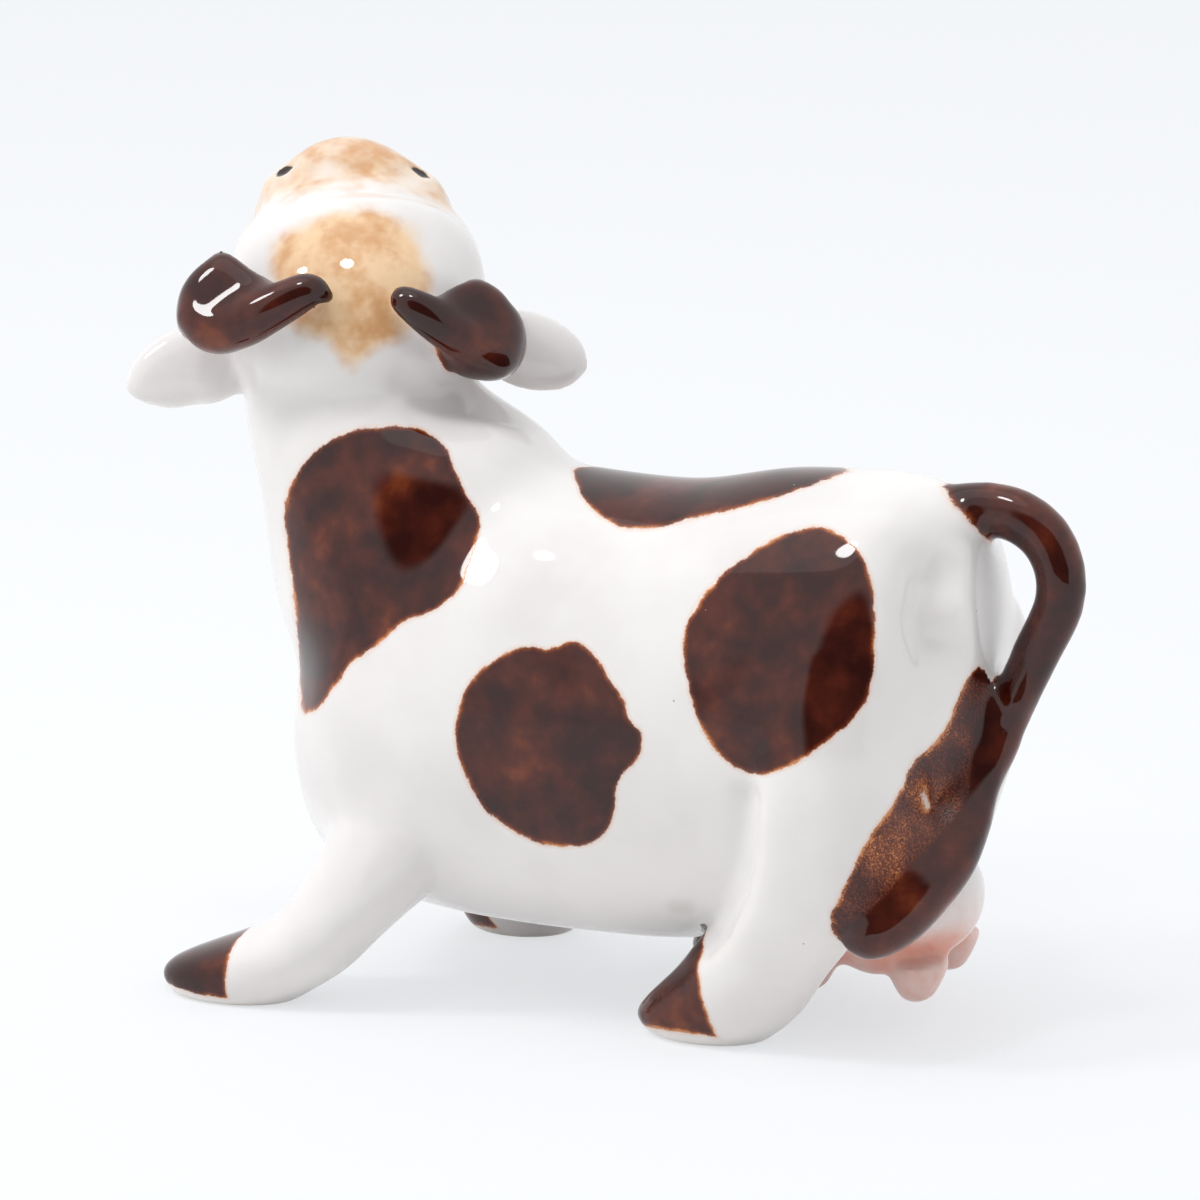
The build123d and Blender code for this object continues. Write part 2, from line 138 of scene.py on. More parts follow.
@dataclass(frozen=True)
class PhotoCamera:
    """The camera that took the photograph: lengths in mm, image places in pixels."""

    azimuth: float = 110.0
    elevation: float = 14.0
    distance: float = 380.0
    seen_width: float = 79.2
    aim: tuple[float, float, float] = (4.5, -1.4, 28.0)
    image: float = 1200.0
    sensor: float = 36.0

    @property
    def target(self) -> np.ndarray:
        """The point that the camera looks at."""
        return HOME + np.array(self.aim)

    @property
    def back(self) -> np.ndarray:
        """Direction from the target to the camera."""
        return direction(self.azimuth, self.elevation)

    @property
    def right(self) -> np.ndarray:
        """Direction that points right in the image."""
        turn = math.radians(self.azimuth)
        return np.array([math.cos(turn), math.sin(turn), 0.0])

    @property
    def up(self) -> np.ndarray:
        """Direction that points up in the image."""
        return np.cross(self.back, self.right)

    @property
    def place(self) -> np.ndarray:
        """Where the camera stands."""
        return self.target + self.back * self.distance

    @property
    def focal_pixels(self) -> float:
        """Focal length in pixels of the image."""
        return self.image * self.distance / self.seen_width

    def project(self, points: np.ndarray) -> np.ndarray:
        """Image places of points.

        Args:
            points: Places in mm, one a row.

        Returns:
            Their pixel columns and rows, one pair a row.
        """
        offset = points - self.place
        depth = -(offset @ self.back)
        across = self.image / 2 + self.focal_pixels * (offset @ self.right) / depth
        down = self.image / 2 - self.focal_pixels * (offset @ self.up) / depth
        return np.stack([across, down], axis=1)

    def place_at(self, column: float, row: float, depth: float) -> np.ndarray:
        """The place in mm behind a pixel, as far in front of the target as the depth says."""
        ray = (column - self.image / 2) * self.right - (row - self.image / 2) * self.up
        return self.target + depth * self.back + ray * (self.distance - depth) / self.focal_pixels

    def facing(self, places: np.ndarray, normals: np.ndarray) -> np.ndarray:
        """How squarely the surface at each place faces the camera, from 1 down to -1."""
        return (normals * unit(self.place - places)).sum(1)

    def build(self) -> None:
        """Add the camera to the scene and look through it."""
        data = bpy.data.cameras.new("photo_camera")
        data.sensor_width = self.sensor
        data.lens = self.sensor * self.distance / self.seen_width
        camera = bpy.data.objects.new("photo_camera", data)
        stand(camera, self.place, self.target)
        bpy.context.scene.camera = camera


@dataclass(frozen=True)
class Outline:
    """A closed, smooth outline through points of the photograph, in its pixels."""

    points: tuple[tuple[float, float], ...]
    steps: int = 10
    reach: float = 60.0

    def curve(self) -> np.ndarray:
        """The outline as a dense closed line.

        Returns:
            Points on a smooth curve through the outline's points, the first one also at the end.
        """
        here = np.array(self.points, float)
        before, there, after = (np.roll(here, shift, axis=0) for shift in (1, -1, -2))
        line = []
        for step in range(self.steps):
            t = step / self.steps
            line.append(
                0.5 * (2 * here + (there - before) * t + (2 * before - 5 * here + 4 * there - after) * t**2
                       + (3 * here - before - 3 * there + after) * t**3)
            )
        line = np.stack(line, axis=1).reshape(-1, 2)
        return np.vstack([line, line[:1]])

    def depth(self, places: np.ndarray) -> np.ndarray:
        """How far inside the outline image places lie.

        Args:
            places: Pixel columns and rows, one pair a row.

        Returns:
            Distance to the outline in pixels, above zero inside it, up to the outline's reach.
        """
        line = self.curve()
        near = np.all((places > line.min(0) - self.reach) & (places < line.max(0) + self.reach), axis=1)
        spots = places[near]
        closest = np.minimum(away_from(line, spots), self.reach)
        inside = np.zeros(len(spots), bool)
        for start, end in zip(line, line[1:]):
            if start[1] != end[1]:
                crosses = (start[1] > spots[:, 1]) != (end[1] > spots[:, 1])
                meet = start[0] + (spots[:, 1] - start[1]) * (end[0] - start[0]) / (end[1] - start[1])
                inside ^= crosses & (spots[:, 0] < meet)
        depth = np.full(len(places), -self.reach)
        depth[near] = np.where(inside, closest, -closest)
        return depth


class Side(Enum):
    """The side of the cow that an outline is painted on."""

    LEFT = "seen in the photograph"
    RIGHT = "the far side, outlined as its mirror image would show"
    BOTH = "over the spine, alike on both sides"


@dataclass(frozen=True)
class Patch:
    """A brown patch of the glaze."""

    name: str
    side: Side
    outline: Outline


PATCHES = (
    Patch("shoulder", Side.LEFT, Outline((
        (399, 427), (424, 431), (445, 446), (455, 470), (466, 493), (479, 515), (479, 532), (470, 562),
        (459, 590), (434, 610), (403, 623), (378, 644), (350, 665), (338, 682), (322, 704), (311, 712),
        (302, 710), (300, 674), (297, 631), (291, 575), (286, 534), (285, 505), (291, 485), (303, 464),
        (324, 445), (350, 432), (377, 427),
    ))),
    Patch("back", Side.BOTH, Outline((
        (579, 464), (574, 474), (585, 501), (602, 517), (623, 527), (646, 529), (694, 518), (765, 501),
        (828, 479), (862, 462), (850, 440), (760, 425), (660, 430), (600, 440),
    ))),
    Patch("flank", Side.LEFT, Outline((
        (521, 647), (548, 649), (570, 642), (586, 647), (600, 661), (612, 682), (624, 700), (628, 718),
        (642, 735), (637, 760), (619, 780), (614, 808), (606, 832), (587, 844), (568, 847), (537, 842),
        (492, 816), (467, 780), (455, 738), (461, 700), (474, 678), (493, 661),
    ))),
    Patch("hip", Side.LEFT, Outline((
        (822, 527), (845, 539), (863, 558), (873, 590), (875, 625), (874, 662), (869, 693), (850, 722),
        (810, 754), (777, 771), (752, 774), (722, 757), (699, 723), (687, 680), (683, 645), (693, 613),
        (719, 578), (762, 546), (792, 532),
    ))),
    Patch("far_shoulder", Side.RIGHT, Outline((
        (430, 560), (478, 572), (508, 610), (512, 655), (486, 700), (440, 728), (398, 716), (372, 672),
        (366, 622), (388, 580),
    ))),
    Patch("far_flank", Side.RIGHT, Outline((
        (600, 590), (652, 580), (700, 602), (716, 648), (690, 690), (664, 726), (616, 730), (580, 700),
        (566, 650),
    ))),
    Patch("far_hip", Side.RIGHT, Outline((
        (836, 560), (880, 588), (902, 640), (896, 704), (862, 752), (812, 770), (776, 738), (768, 684),
        (784, 620), (800, 580),
    ))),
    Patch("far_thigh", Side.RIGHT, Outline((
        (772, 838), (806, 846), (822, 876), (802, 904), (770, 900), (752, 868),
    ))),
)

BRUSH_FRONT = (
    (957, 701), (945, 730), (928, 749), (911, 766), (897, 797), (880, 822), (863, 848), (850, 875),
)
BRUSH_OUTLINE = Outline((
    (976, 668), *BRUSH_FRONT, (838, 899), (831, 918), (836, 936), (860, 944), (900, 912), (935, 868),
    (963, 820), (984, 765), (1000, 715), (998, 682),
))
THIN_OUTLINE = Outline((
    (972, 678), *BRUSH_FRONT, (836, 902), (832, 925), (845, 926), (870, 912), (893, 889), (903, 874),
    (935, 842), (960, 812), (970, 788), (976, 730), (990, 690),
))
FOREHEAD_OUTLINE = Outline((
    (350, 208), (385, 216), (415, 228), (430, 262), (428, 300), (410, 330), (380, 345), (352, 368),
    (330, 345), (300, 330), (280, 300), (272, 262), (284, 235), (315, 216),
))
MUZZLE_OUTLINE = Outline((
    (345, 184), (390, 184), (430, 194), (455, 212), (480, 200), (470, 140), (400, 100), (290, 100),
    (220, 160), (215, 215), (236, 228), (262, 205), (300, 190),
))


@dataclass(frozen=True)
class HeadFrame:
    """Where the head stands from the torso's middle and how it is turned, in mm and degrees."""

    centre: tuple[float, float, float] = (-1.0, -20.703, 44.593)
    turn: float = 65.7
    rise: float = 36.0
    reach: float = 20.0
    muzzle_edge: float = 6.6

    @property
    def ways(self) -> np.ndarray:
        """The head's own directions.

        Returns:
            To its left, to its nose and to its top, one a row.
        """
        turn = math.radians(self.turn)
        left = np.array([math.cos(turn), -math.sin(turn), 0.0])
        nose = direction(-self.turn, self.rise)
        return np.stack([left, nose, np.cross(nose, left)])

    def to_own(self, places: np.ndarray) -> np.ndarray:
        """Places of the frame in the head's own frame."""
        return (places - HOME - np.array(self.centre)) @ self.ways.T

    def to_frame(self, own: np.ndarray) -> np.ndarray:
        """Places of the head's own frame in the frame."""
        return own @ self.ways + HOME + np.array(self.centre)


HEAD = HeadFrame()


class Surface(Enum):
    """How strongly the form of a piece is evened out when the skin is smoothed."""

    BROAD = 1.0
    LIMB = 0.24
    SMALL = 0.065
    FINE = 0.03


@dataclass(frozen=True)
class ClayPiece:
    """One piece of clay: its CAD node, how soft its form is, its material slot and its joint."""

    node: str
    surface: Surface
    slot: str
    brown: bool = False
    crisp_joint: bool = False


WHITE, TAN, BROWN, PINK = "white_glaze", "tan_glaze", "brown_glaze", "pink_glaze"
CLAY_PIECES = (
    ClayPiece("torso", Surface.BROAD, WHITE),
    ClayPiece("neck", Surface.BROAD, WHITE),
    ClayPiece("head", Surface.LIMB, WHITE),
    ClayPiece("muzzle", Surface.LIMB, TAN),
    ClayPiece("horn_left", Surface.FINE, BROWN, True),
    ClayPiece("horn_right", Surface.FINE, BROWN, True),
    ClayPiece("ear_left", Surface.FINE, WHITE),
    ClayPiece("ear_right", Surface.FINE, WHITE),
    ClayPiece("foreleg_left", Surface.LIMB, WHITE, crisp_joint=True),
    ClayPiece("foreleg_right", Surface.LIMB, WHITE, crisp_joint=True),
    ClayPiece("hind_leg_left", Surface.LIMB, WHITE, crisp_joint=True),
    ClayPiece("hind_leg_right", Surface.LIMB, WHITE, crisp_joint=True),
    ClayPiece("udder", Surface.LIMB, PINK),
    ClayPiece("teat_front_left", Surface.SMALL, PINK),
    ClayPiece("teat_front_right", Surface.SMALL, PINK),
    ClayPiece("teat_rear_left", Surface.SMALL, PINK),
    ClayPiece("teat_rear_right", Surface.SMALL, PINK),
    ClayPiece("tail", Surface.SMALL, BROWN, True),
    ClayPiece("tail_brush", Surface.SMALL, BROWN, True),
)


@dataclass(frozen=True)
class Touch:
    """One stroke of the modelling tool, along a path that is seen in the photograph.

    The path is in pixels of the photograph, the radius, push and drag in mm. A push moves the
    clay along its surface normal, a drag moves it right and up in the photograph. A stroke
    that names pieces leaves the others alone.
    """

    name: str
    path: tuple[tuple[float, float], ...]
    radius: float
    push: float = 0.0
    drag: tuple[float, float] = (0.0, 0.0)
    pieces: tuple[str, ...] = ()


@dataclass(frozen=True)
class FaceStroke:
    """One stroke on the face, along a path in the head's own frame, in mm."""

    name: str
    path: tuple[tuple[float, float, float], ...]
    radius: float
    push: float
    both_sides: bool = False


@dataclass(frozen=True)
class Coil:
    """A round roll of clay in a horn.

    A knot is a column and a row in pixels, a depth in mm and a radius in pixels. The rounding
    closes both ends: how far past the last knot and how thick, as shares of its radius.
    """

    node: str
    name: str
    knots: tuple[tuple[float, float, float, float], ...]
    rounding: tuple[tuple[float, float], ...] = ((0.6, 0.8), (0.92, 0.38))
    bevel_steps: int = 8

    def rings(self, camera: PhotoCamera) -> list[tuple[np.ndarray, float]]:
        """The sections of the roll.

        Args:
            camera: The camera that the knots are seen by.

        Returns:
            The middle and the radius of each section in mm, from end to end.
        """
        places = [camera.place_at(column, row, depth) for column, row, depth, _ in self.knots]
        radii = [radius * camera.seen_width / camera.image for *_, radius in self.knots]
        first, last = unit(places[0] - places[1]), unit(places[-1] - places[-2])
        root = [(places[0] + first * radii[0] * reach, radii[0] * share) for reach, share in self.rounding]
        tip = [(places[-1] + last * radii[-1] * reach, radii[-1] * share) for reach, share in self.rounding]
        return [*reversed(root), *zip(places, radii), *tip]

    def build(self, camera: PhotoCamera) -> bpy.types.Object:
        """Make the roll as a closed mesh in mm.

        Args:
            camera: The camera that the knots are seen by.

        Returns:
            The roll's object.
        """
        rings = self.rings(camera)
        curve = bpy.data.curves.new(self.name, "CURVE")
        curve.dimensions = "3D"
        curve.bevel_depth = 1.0
        curve.bevel_resolution = self.bevel_steps
        curve.use_fill_caps = True
        spline = curve.splines.new("BEZIER")
        spline.radius_interpolation = "CARDINAL"
        spline.bezier_points.add(len(rings) - 1)
        for point, (place, radius) in zip(spline.bezier_points, rings):
            point.co, point.radius = place, radius
            point.handle_left_type = point.handle_right_type = "AUTO"
        bpy.ops.object.select_all(action="DESELECT")
        roll = bpy.data.objects.new(self.name, curve)
        bpy.context.scene.collection.objects.link(roll)
        roll.select_set(True)
        bpy.context.view_layer.objects.active = roll
        bpy.ops.object.convert(target="MESH")
        return bpy.context.view_layer.objects.active


COILS = (
    Coil("horn_left", "left_arm", (
        (196, 318, -1.5, 20), (212, 329, -1.3, 25), (240, 324, -0.4, 25.5), (265, 312, 0.6, 24),
        (292, 298, 1.1, 21.5), (308, 291, 1.3, 19), (319, 292, 1.4, 15), (328, 297, 1.5, 8),
    )),
    Coil("horn_left", "left_arm_back", (
        (226, 322, -2.6, 20), (250, 315, -1.3, 19), (274, 304, -0.3, 17), (302, 295, 0.1, 14),
    )),
    Coil("horn_left", "left_hood", (
        (221, 258, -1.6, 9), (211, 272, -1.7, 14), (202, 288, -2.0, 19), (198, 305, -2.3, 22),
        (200, 321, -2.5, 24.5),
    )),
    Coil("horn_left", "left_lip", (
        (224, 259, -1.4, 9), (238, 270, -1.2, 10), (251, 281, -0.6, 11), (264, 289, 0.0, 12),
    )),
    Coil("horn_left", "left_web", ((211, 292, -1.9, 18), (230, 296, -1.35, 18), (247, 299, -0.75, 15))),
    Coil("horn_left", "left_web_top", ((214, 278, -1.65, 12), (228, 281, -1.3, 13), (241, 287, -0.9, 12))),
    Coil("horn_left", "left_root", ((206, 312, -3.2, 20), (220, 306, -5.2, 23), (238, 302, -7.2, 22))),
    Coil("horn_right", "right_arm", (
        (404, 300, 1.0, 16), (420, 310, 0.8, 20), (440, 324, 0.2, 22), (462, 339, -0.7, 23),
        (484, 350, -2.0, 24.5), (497, 353, -3.0, 25.5),
    )),
    Coil("horn_right", "right_arm_back", (
        (414, 305, 0.2, 13), (434, 318, -0.6, 16), (457, 334, -2.0, 18), (478, 345, -3.6, 20),
    )),
    Coil("horn_right", "right_hood", (
        (477, 287, -1.9, 11), (486, 298, -2.0, 17), (493, 314, -2.4, 22.5), (499, 331, -3.2, 27.5),
        (497, 349, -3.9, 30),
    )),
    Coil("horn_right", "right_heel", (
        (454, 349, -1.9, 16), (464, 359, -2.5, 18), (481, 361, -3.2, 21), (499, 358, -3.9, 23),
    )),
    Coil("horn_right", "right_lip", ((474, 287, -1.6, 10), (459, 295, -0.9, 11), (446, 304, -0.3, 12))),
    Coil("horn_right", "right_web", ((461, 305, -1.2, 14), (475, 316, -1.9, 18))),
    Coil("horn_right", "right_web_top", ((466, 294, -1.3, 11), (481, 306, -1.9, 15))),
    Coil("horn_right", "right_root", ((495, 338, -4.8, 24), (488, 330, -6.6, 24), (478, 322, -8.4, 22))),
)

TOUCHES = (
    Touch("muzzle_lean", ((350, 150),), 5.0, drag=(-0.55, 0.0)),
    Touch("right_nostril_rim", ((434, 186),), 1.3, push=0.4),
    Touch("left_nostril_rim", ((270, 184),), 1.3, push=0.4),
    Touch("brow_fold", (
        (250, 212), (270, 203), (310, 191), (350, 187), (395, 188), (435, 198), (450, 207),
    ), 1.5, push=-0.2),
    Touch("brow_roll", (
        (240, 245), (270, 226), (310, 213), (350, 209), (395, 210), (440, 220), (466, 236),
    ), 2.0, push=0.2),
    Touch("left_ear_root", ((222, 386), (236, 384)), 1.5, drag=(0.0, -0.8), pieces=("ear_left", "head")),
    Touch("left_ear_tip", ((131, 385),), 1.2, drag=(-0.3, -0.2), pieces=("ear_left",)),
    Touch("right_ear_root", ((488, 372), (502, 378)), 1.4, drag=(0.0, -0.7), pieces=("ear_right", "head")),
    Touch("nape_fold", (
        (405, 384), (440, 399), (478, 405), (508, 412),
    ), 1.1, push=-0.5, pieces=("head", "neck")),
    Touch("shoulder_ridge", ((497, 455), (512, 520), (502, 590)), 2.7, push=0.5),
    Touch("chest", ((291, 690), (289, 750), (293, 800)), 4.5, drag=(0.75, 0.0)),
    Touch("fore_toe", ((172, 968),), 2.2, drag=(-0.12, 0.0)),
    Touch("hind_toe", ((645, 1015),), 2.2, drag=(-0.3, 0.1)),
    Touch("thigh_fold", ((744, 800), (742, 850), (734, 890), (718, 922), (702, 940)), 1.2, push=-0.8),
    Touch("thigh_roll", ((764, 800), (762, 850), (753, 890), (738, 922)), 1.8, push=0.3),
    Touch("rump_dish", ((936, 572), (930, 610), (942, 648)), 2.1, push=-2.0),
    Touch("rump_rim", ((962, 552), (957, 600), (964, 652)), 1.0, push=0.45),
    Touch("brush_top", ((999, 690), (1006, 702)), 1.1, push=0.45),
    Touch("brush_waist", ((1008, 790),), 1.8, drag=(-0.35, 0.1), pieces=("tail_brush",)),
    Touch("brush_bulb", ((965, 860),), 2.2, drag=(0.3, -0.1), pieces=("tail_brush",)),
    Touch("udder_front", ((872, 974), (890, 980)), 1.6, drag=(0.0, -0.5)),
)

FACE_STROKES = (
    FaceStroke("nostril", ((4.7, 10.6, 2.9), (4.2, 11.2, 3.0)), 0.45, -0.4, both_sides=True),
    FaceStroke("mouth", (
        (-4.8, 13.0, -2.4), (-2.6, 14.5, -3.1), (0.0, 15.0, -3.3), (2.6, 14.5, -3.1), (4.8, 13.0, -2.4),
    ), 0.45, -0.3),
    FaceStroke("eye", ((7.1, 6.8, -0.9),), 1.0, 0.35, both_sides=True),
    FaceStroke("cheek", ((6.4, 6.8, -3.8),), 2.0, 0.3, both_sides=True),
)

CREASE_PATH = (
    (1010, 668), (992, 695), (984, 735), (980, 785), (966, 822), (930, 860), (902, 884), (878, 912),
)


@dataclass
class ClaySkin:
    """The clay of the whole cow as one skin, and its split into the pieces.

    Lengths are in mm, and those with pixels in their name in pixels of the photograph. Rounds
    say how many times something is evened out.
    """

    camera: PhotoCamera
    voxel: float = 0.24
    weld: float = 0.0024
    reach: float = 4.0
    blend: float = 0.3
    broad_rounds: int = 320
    fine_rounds: int = 5
    soft_rounds: int = 12
    label_rounds: int = 12
    crisp_reach: float = 1.3
    crisp_share: float = 0.9
    toe_height: float = 6.0
    toe_share: float = 0.7
    crease_rounds: int = 450
    crease_pixels: float = 18.0
    seam_rounds: int = 3
    touch_pixels: float = 4.0
    touch_facing: float = 0.05
    touch_edge: tuple[float, float] = (0.9, 0.1)
    broad_softness: tuple[float, float] = (0.3, 0.9)
    shading_rounds: int = 240
    roll_edge: float = 0.4
    roll_rounds: int = 60
    places: np.ndarray = field(init=False, repr=False)
    normals: np.ndarray = field(init=False, repr=False)
    faces: np.ndarray = field(init=False, repr=False)
    edges: np.ndarray = field(init=False, repr=False)
    gaps: np.ndarray = field(init=False, repr=False)
    softness: np.ndarray = field(init=False, repr=False)
    touched: np.ndarray = field(init=False, repr=False)
    forms: dict[str, Form] = field(default_factory=dict, repr=False)

    def build(self) -> None:
        """Join, remesh and smooth the clay, and read the finished skin."""
        skin = self.join_clay()
        self.remesh(skin)
        self.read(skin)
        self.gaps = self.measure_gaps()
        self.softness = self.measure_softness()
        self.soften(skin, self.softness, self.broad_rounds)
        self.read(skin)
        self.touched = np.zeros(len(self.places))
        for touch in TOUCHES:
            self.press(touch)
        for stroke in FACE_STROKES:
            self.press_face(stroke)
        low, high = (np.array(corner) / MM for corner in cad_box)
        self.places = np.clip(self.places, low, high)
        self.write(skin)
        self.soften(skin, self.crease_weights(), self.crease_rounds)
        self.soften(skin, np.ones(len(self.places)), self.fine_rounds)
        self.read(skin)
        self.even_shading()
        bpy.data.objects.remove(skin)

    def join_clay(self) -> bpy.types.Object:
        """Join copies of the CAD nodes, in mm, with the rolls of clay as the horns.

        Returns:
            One object that holds all the clay.
        """
        rolls = [coil.build(self.camera) for coil in COILS]
        bpy.ops.object.select_all(action="DESELECT")
        for piece in CLAY_PIECES:
            meshes = [roll.data for roll, coil in zip(rolls, COILS) if coil.node == piece.node]
            if meshes:
                self.forms[piece.node] = self.form(meshes, 1.0)
                continue
            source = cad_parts[piece.node]
            self.forms[piece.node] = self.form([source.data], MM)
            copy = bpy.data.objects.new("clay_" + piece.node, source.data.copy())
            bpy.context.scene.collection.objects.link(copy)
            copy.data.materials.clear()
            copy.scale = (1 / MM, 1 / MM, 1 / MM)
            copy.select_set(True)
            bpy.context.view_layer.objects.active = copy
        bpy.ops.object.transform_apply(location=False, rotation=False, scale=True)
        for roll in rolls:
            roll.select_set(True)
        bpy.ops.object.join()
        skin = bpy.context.view_layer.objects.active
        bpy.ops.object.mode_set(mode="EDIT")
        bpy.ops.mesh.select_all(action="SELECT")
        bpy.ops.mesh.remove_doubles(threshold=self.weld)
        bpy.ops.object.mode_set(mode="OBJECT")
        return skin

    @staticmethod
    def form(meshes: list[bpy.types.Mesh], unit_length: float) -> Form:
        """Gather meshes into one set of corners and faces.

        Args:
            meshes: The meshes of one piece.
            unit_length: How many of the meshes' units make a millimetre.

        Returns:
            The corners in mm and the faces.
        """
        corners, faces = [], []
        for mesh in meshes:
            start = len(corners)
            corners += [tuple(vertex.co) for vertex in mesh.vertices]
            faces += [tuple(index + start for index in face.vertices) for face in mesh.polygons]
        return np.array(corners) / unit_length, faces

    def remesh(self, skin: bpy.types.Object) -> None:
        """Make one closed surface round the joined clay.

        Args:
            skin: The skin's object.
        """
        modifier = skin.modifiers.new("one_skin", "REMESH")
        modifier.mode = "VOXEL"
        modifier.voxel_size = self.voxel
        modifier.adaptivity = 0.0
        bpy.ops.object.modifier_apply(modifier=modifier.name)

    def read(self, skin: bpy.types.Object) -> None:
        """Read the skin's vertices, normals, faces and edges into arrays.

        Args:
            skin: The skin's object.
        """
        mesh = skin.data
        self.places = self.pull(mesh.vertices, "co", 3, np.float32).astype(float)
        self.normals = self.pull(mesh.vertex_normals, "vector", 3, np.float32).astype(float)
        self.faces = self.pull(mesh.loops, "vertex_index", 1, np.int32).reshape(-1, 4)
        self.edges = self.pull(mesh.edges, "vertices", 2, np.int32)

    @staticmethod
    def pull(items: bpy.types.bpy_prop_collection, name: str, width: int, kind: type) -> np.ndarray:
        """Read one property of many items.

        Args:
            items: The items of a mesh.
            name: The property's name.
            width: How many numbers an item's property has.
            kind: The numbers' type.

        Returns:
            The numbers, one item a row.
        """
        numbers = np.empty(len(items) * width, kind)
        items.foreach_get(name, numbers)
        return numbers.reshape(-1, width)

    def write(self, skin: bpy.types.Object) -> None:
        """Write the places of the vertices back into the skin's object."""
        skin.data.vertices.foreach_set("co", self.places.astype(np.float32).reshape(-1))
        skin.data.update()

    def measure_gaps(self) -> np.ndarray:
        """Distance from every vertex to every piece of clay.

        Returns:
            One row a vertex, one column a piece, no more than the reach.
        """
        gaps = np.full((len(self.places), len(CLAY_PIECES)), self.reach)
        for column, piece in enumerate(CLAY_PIECES):
            corners, faces = self.forms[piece.node]
            tree = BVHTree.FromPolygons(corners.tolist(), faces)
            low, high = corners.min(0) - self.reach, corners.max(0) + self.reach
            near = np.flatnonzero(np.all((self.places > low) & (self.places < high), axis=1))
            for index in near:
                found = tree.find_nearest(self.places[index], self.reach)
                if found[3] is not None:
                    gaps[index, column] = found[3]
        return gaps

    def gap(self, *nodes: str) -> np.ndarray:
        """Distance of each vertex from the nearest of the named pieces."""
        return self.gaps[:, [piece.node in nodes for piece in CLAY_PIECES]].min(1)

    def sum_beside(self, values: np.ndarray) -> np.ndarray:
        """Sum of the values at the neighbours of each vertex."""
        pairs = (self.edges.T, self.edges.T[::-1])
        return sum(np.bincount(mine, values[other], len(values)) for mine, other in pairs)

    def spread(self, values: np.ndarray, rounds: int) -> np.ndarray:
        """Even out values over neighbouring vertices.

        Args:
            values: One value a vertex.
            rounds: How many times each vertex takes half of its neighbours' mean.

        Returns:
            The evened values.
        """
        count = np.maximum(self.sum_beside(np.ones(len(values))), 1)
        for _ in range(rounds):
            values = 0.5 * values + 0.5 * self.sum_beside(values) / count
        return values

    def measure_softness(self) -> np.ndarray:
        """How much each vertex is smoothed: the joints and broad forms most, the small forms least.

        Returns:
            One share a vertex.
        """
        pull = 1 / (self.gaps + self.blend) ** 2
        softness = (pull * np.array([piece.surface.value for piece in CLAY_PIECES])).sum(1) / pull.sum(1)
        second = np.sort(self.gaps, axis=1)[:, 1]
        crisp = self.gap(*[piece.node for piece in CLAY_PIECES if piece.crisp_joint])
        near_crisp = ease(self.crisp_reach, 0.0, crisp) * ease(self.crisp_reach, 0.0, second)
        softness *= 1 - self.crisp_share * near_crisp
        softness *= 1 - self.toe_share * ease(self.toe_height, self.toe_height / 3, self.places[:, 2])
        return self.spread(softness, self.soft_rounds)

    def soften(self, skin: bpy.types.Object, weights: np.ndarray, rounds: int) -> None:
        """Smooth the skin by weight.

        Args:
            skin: The skin's object.
            weights: Share of the smoothing that each vertex takes.
            rounds: How many times the skin is smoothed.
        """
        group = skin.vertex_groups.new(name="softness")
        levels = np.round(weights, 2)
        for level in np.unique(levels):
            group.add(np.flatnonzero(levels == level).tolist(), float(level), "REPLACE")
        modifier = skin.modifiers.new("even", "SMOOTH")
        modifier.factor = 0.5
        modifier.iterations = rounds
        modifier.vertex_group = group.name
        bpy.ops.object.modifier_apply(modifier=modifier.name)
        skin.vertex_groups.clear()

    def press(self, touch: Touch) -> None:
        """Press one stroke into the clay.

        Args:
            touch: The stroke. Each point of its path lands on the vertex that the camera sees there.
        """
        shown = np.flatnonzero(self.camera.facing(self.places, self.normals) > self.touch_facing)
        seen = self.camera.project(self.places[shown])
        depth = (self.places[shown] - self.camera.place) @ self.camera.back
        knots = []
        for pixel in touch.path:
            miss = np.linalg.norm(seen - np.array(pixel), axis=1)
            best = miss <= max(miss.min() + 1.0, self.touch_pixels)
            knots.append(shown[best][depth[best].argmax()])
        fade = self.fade(self.places[knots], touch.radius)
        if touch.pieces:
            fade *= ease(*self.touch_edge, self.gap(*touch.pieces))
        slide = touch.drag[0] * self.camera.right + touch.drag[1] * self.camera.up
        self.places += fade[:, None] * (touch.push * self.normals + slide)
        self.touched = np.maximum(self.touched, fade)
        log.info("pressed %s", touch.name)

    def press_face(self, stroke: FaceStroke) -> None:
        """Press one stroke into the face.

        Args:
            stroke: The stroke.
        """
        for side in (1, -1) if stroke.both_sides else (1,):
            knots = HEAD.to_frame(np.array(stroke.path) * np.array([side, 1, 1]))
            nearest = [np.linalg.norm(self.places - knot, axis=1).argmin() for knot in knots]
            fade = self.fade(self.places[nearest], stroke.radius)
            self.places += fade[:, None] * stroke.push * self.normals
        log.info("pressed %s", stroke.name)

    def fade(self, knots: np.ndarray, radius: float) -> np.ndarray:
        """How strongly a stroke through knots moves each vertex, from 1 to 0 at twice its radius."""
        return np.clip(1 - (away_from(knots, self.places) / (2 * radius)) ** 2, 0, 1) ** 3

    def crease_weights(self) -> np.ndarray:
        """Weights that fill the crease between the brush of the tail and the thigh.

        Returns:
            One share a vertex.
        """
        seen = self.camera.project(self.places)
        away = away_from(np.array(CREASE_PATH, float), seen)
        along_crease = ease(self.crease_pixels, self.crease_pixels / 3, away)
        flat_part = ease(0, self.crease_pixels / 2, THIN_OUTLINE.depth(seen))
        faces_camera = self.camera.facing(self.places, self.normals) > 0
        return self.spread(np.maximum(along_crease, flat_part) * faces_camera, self.seam_rounds)

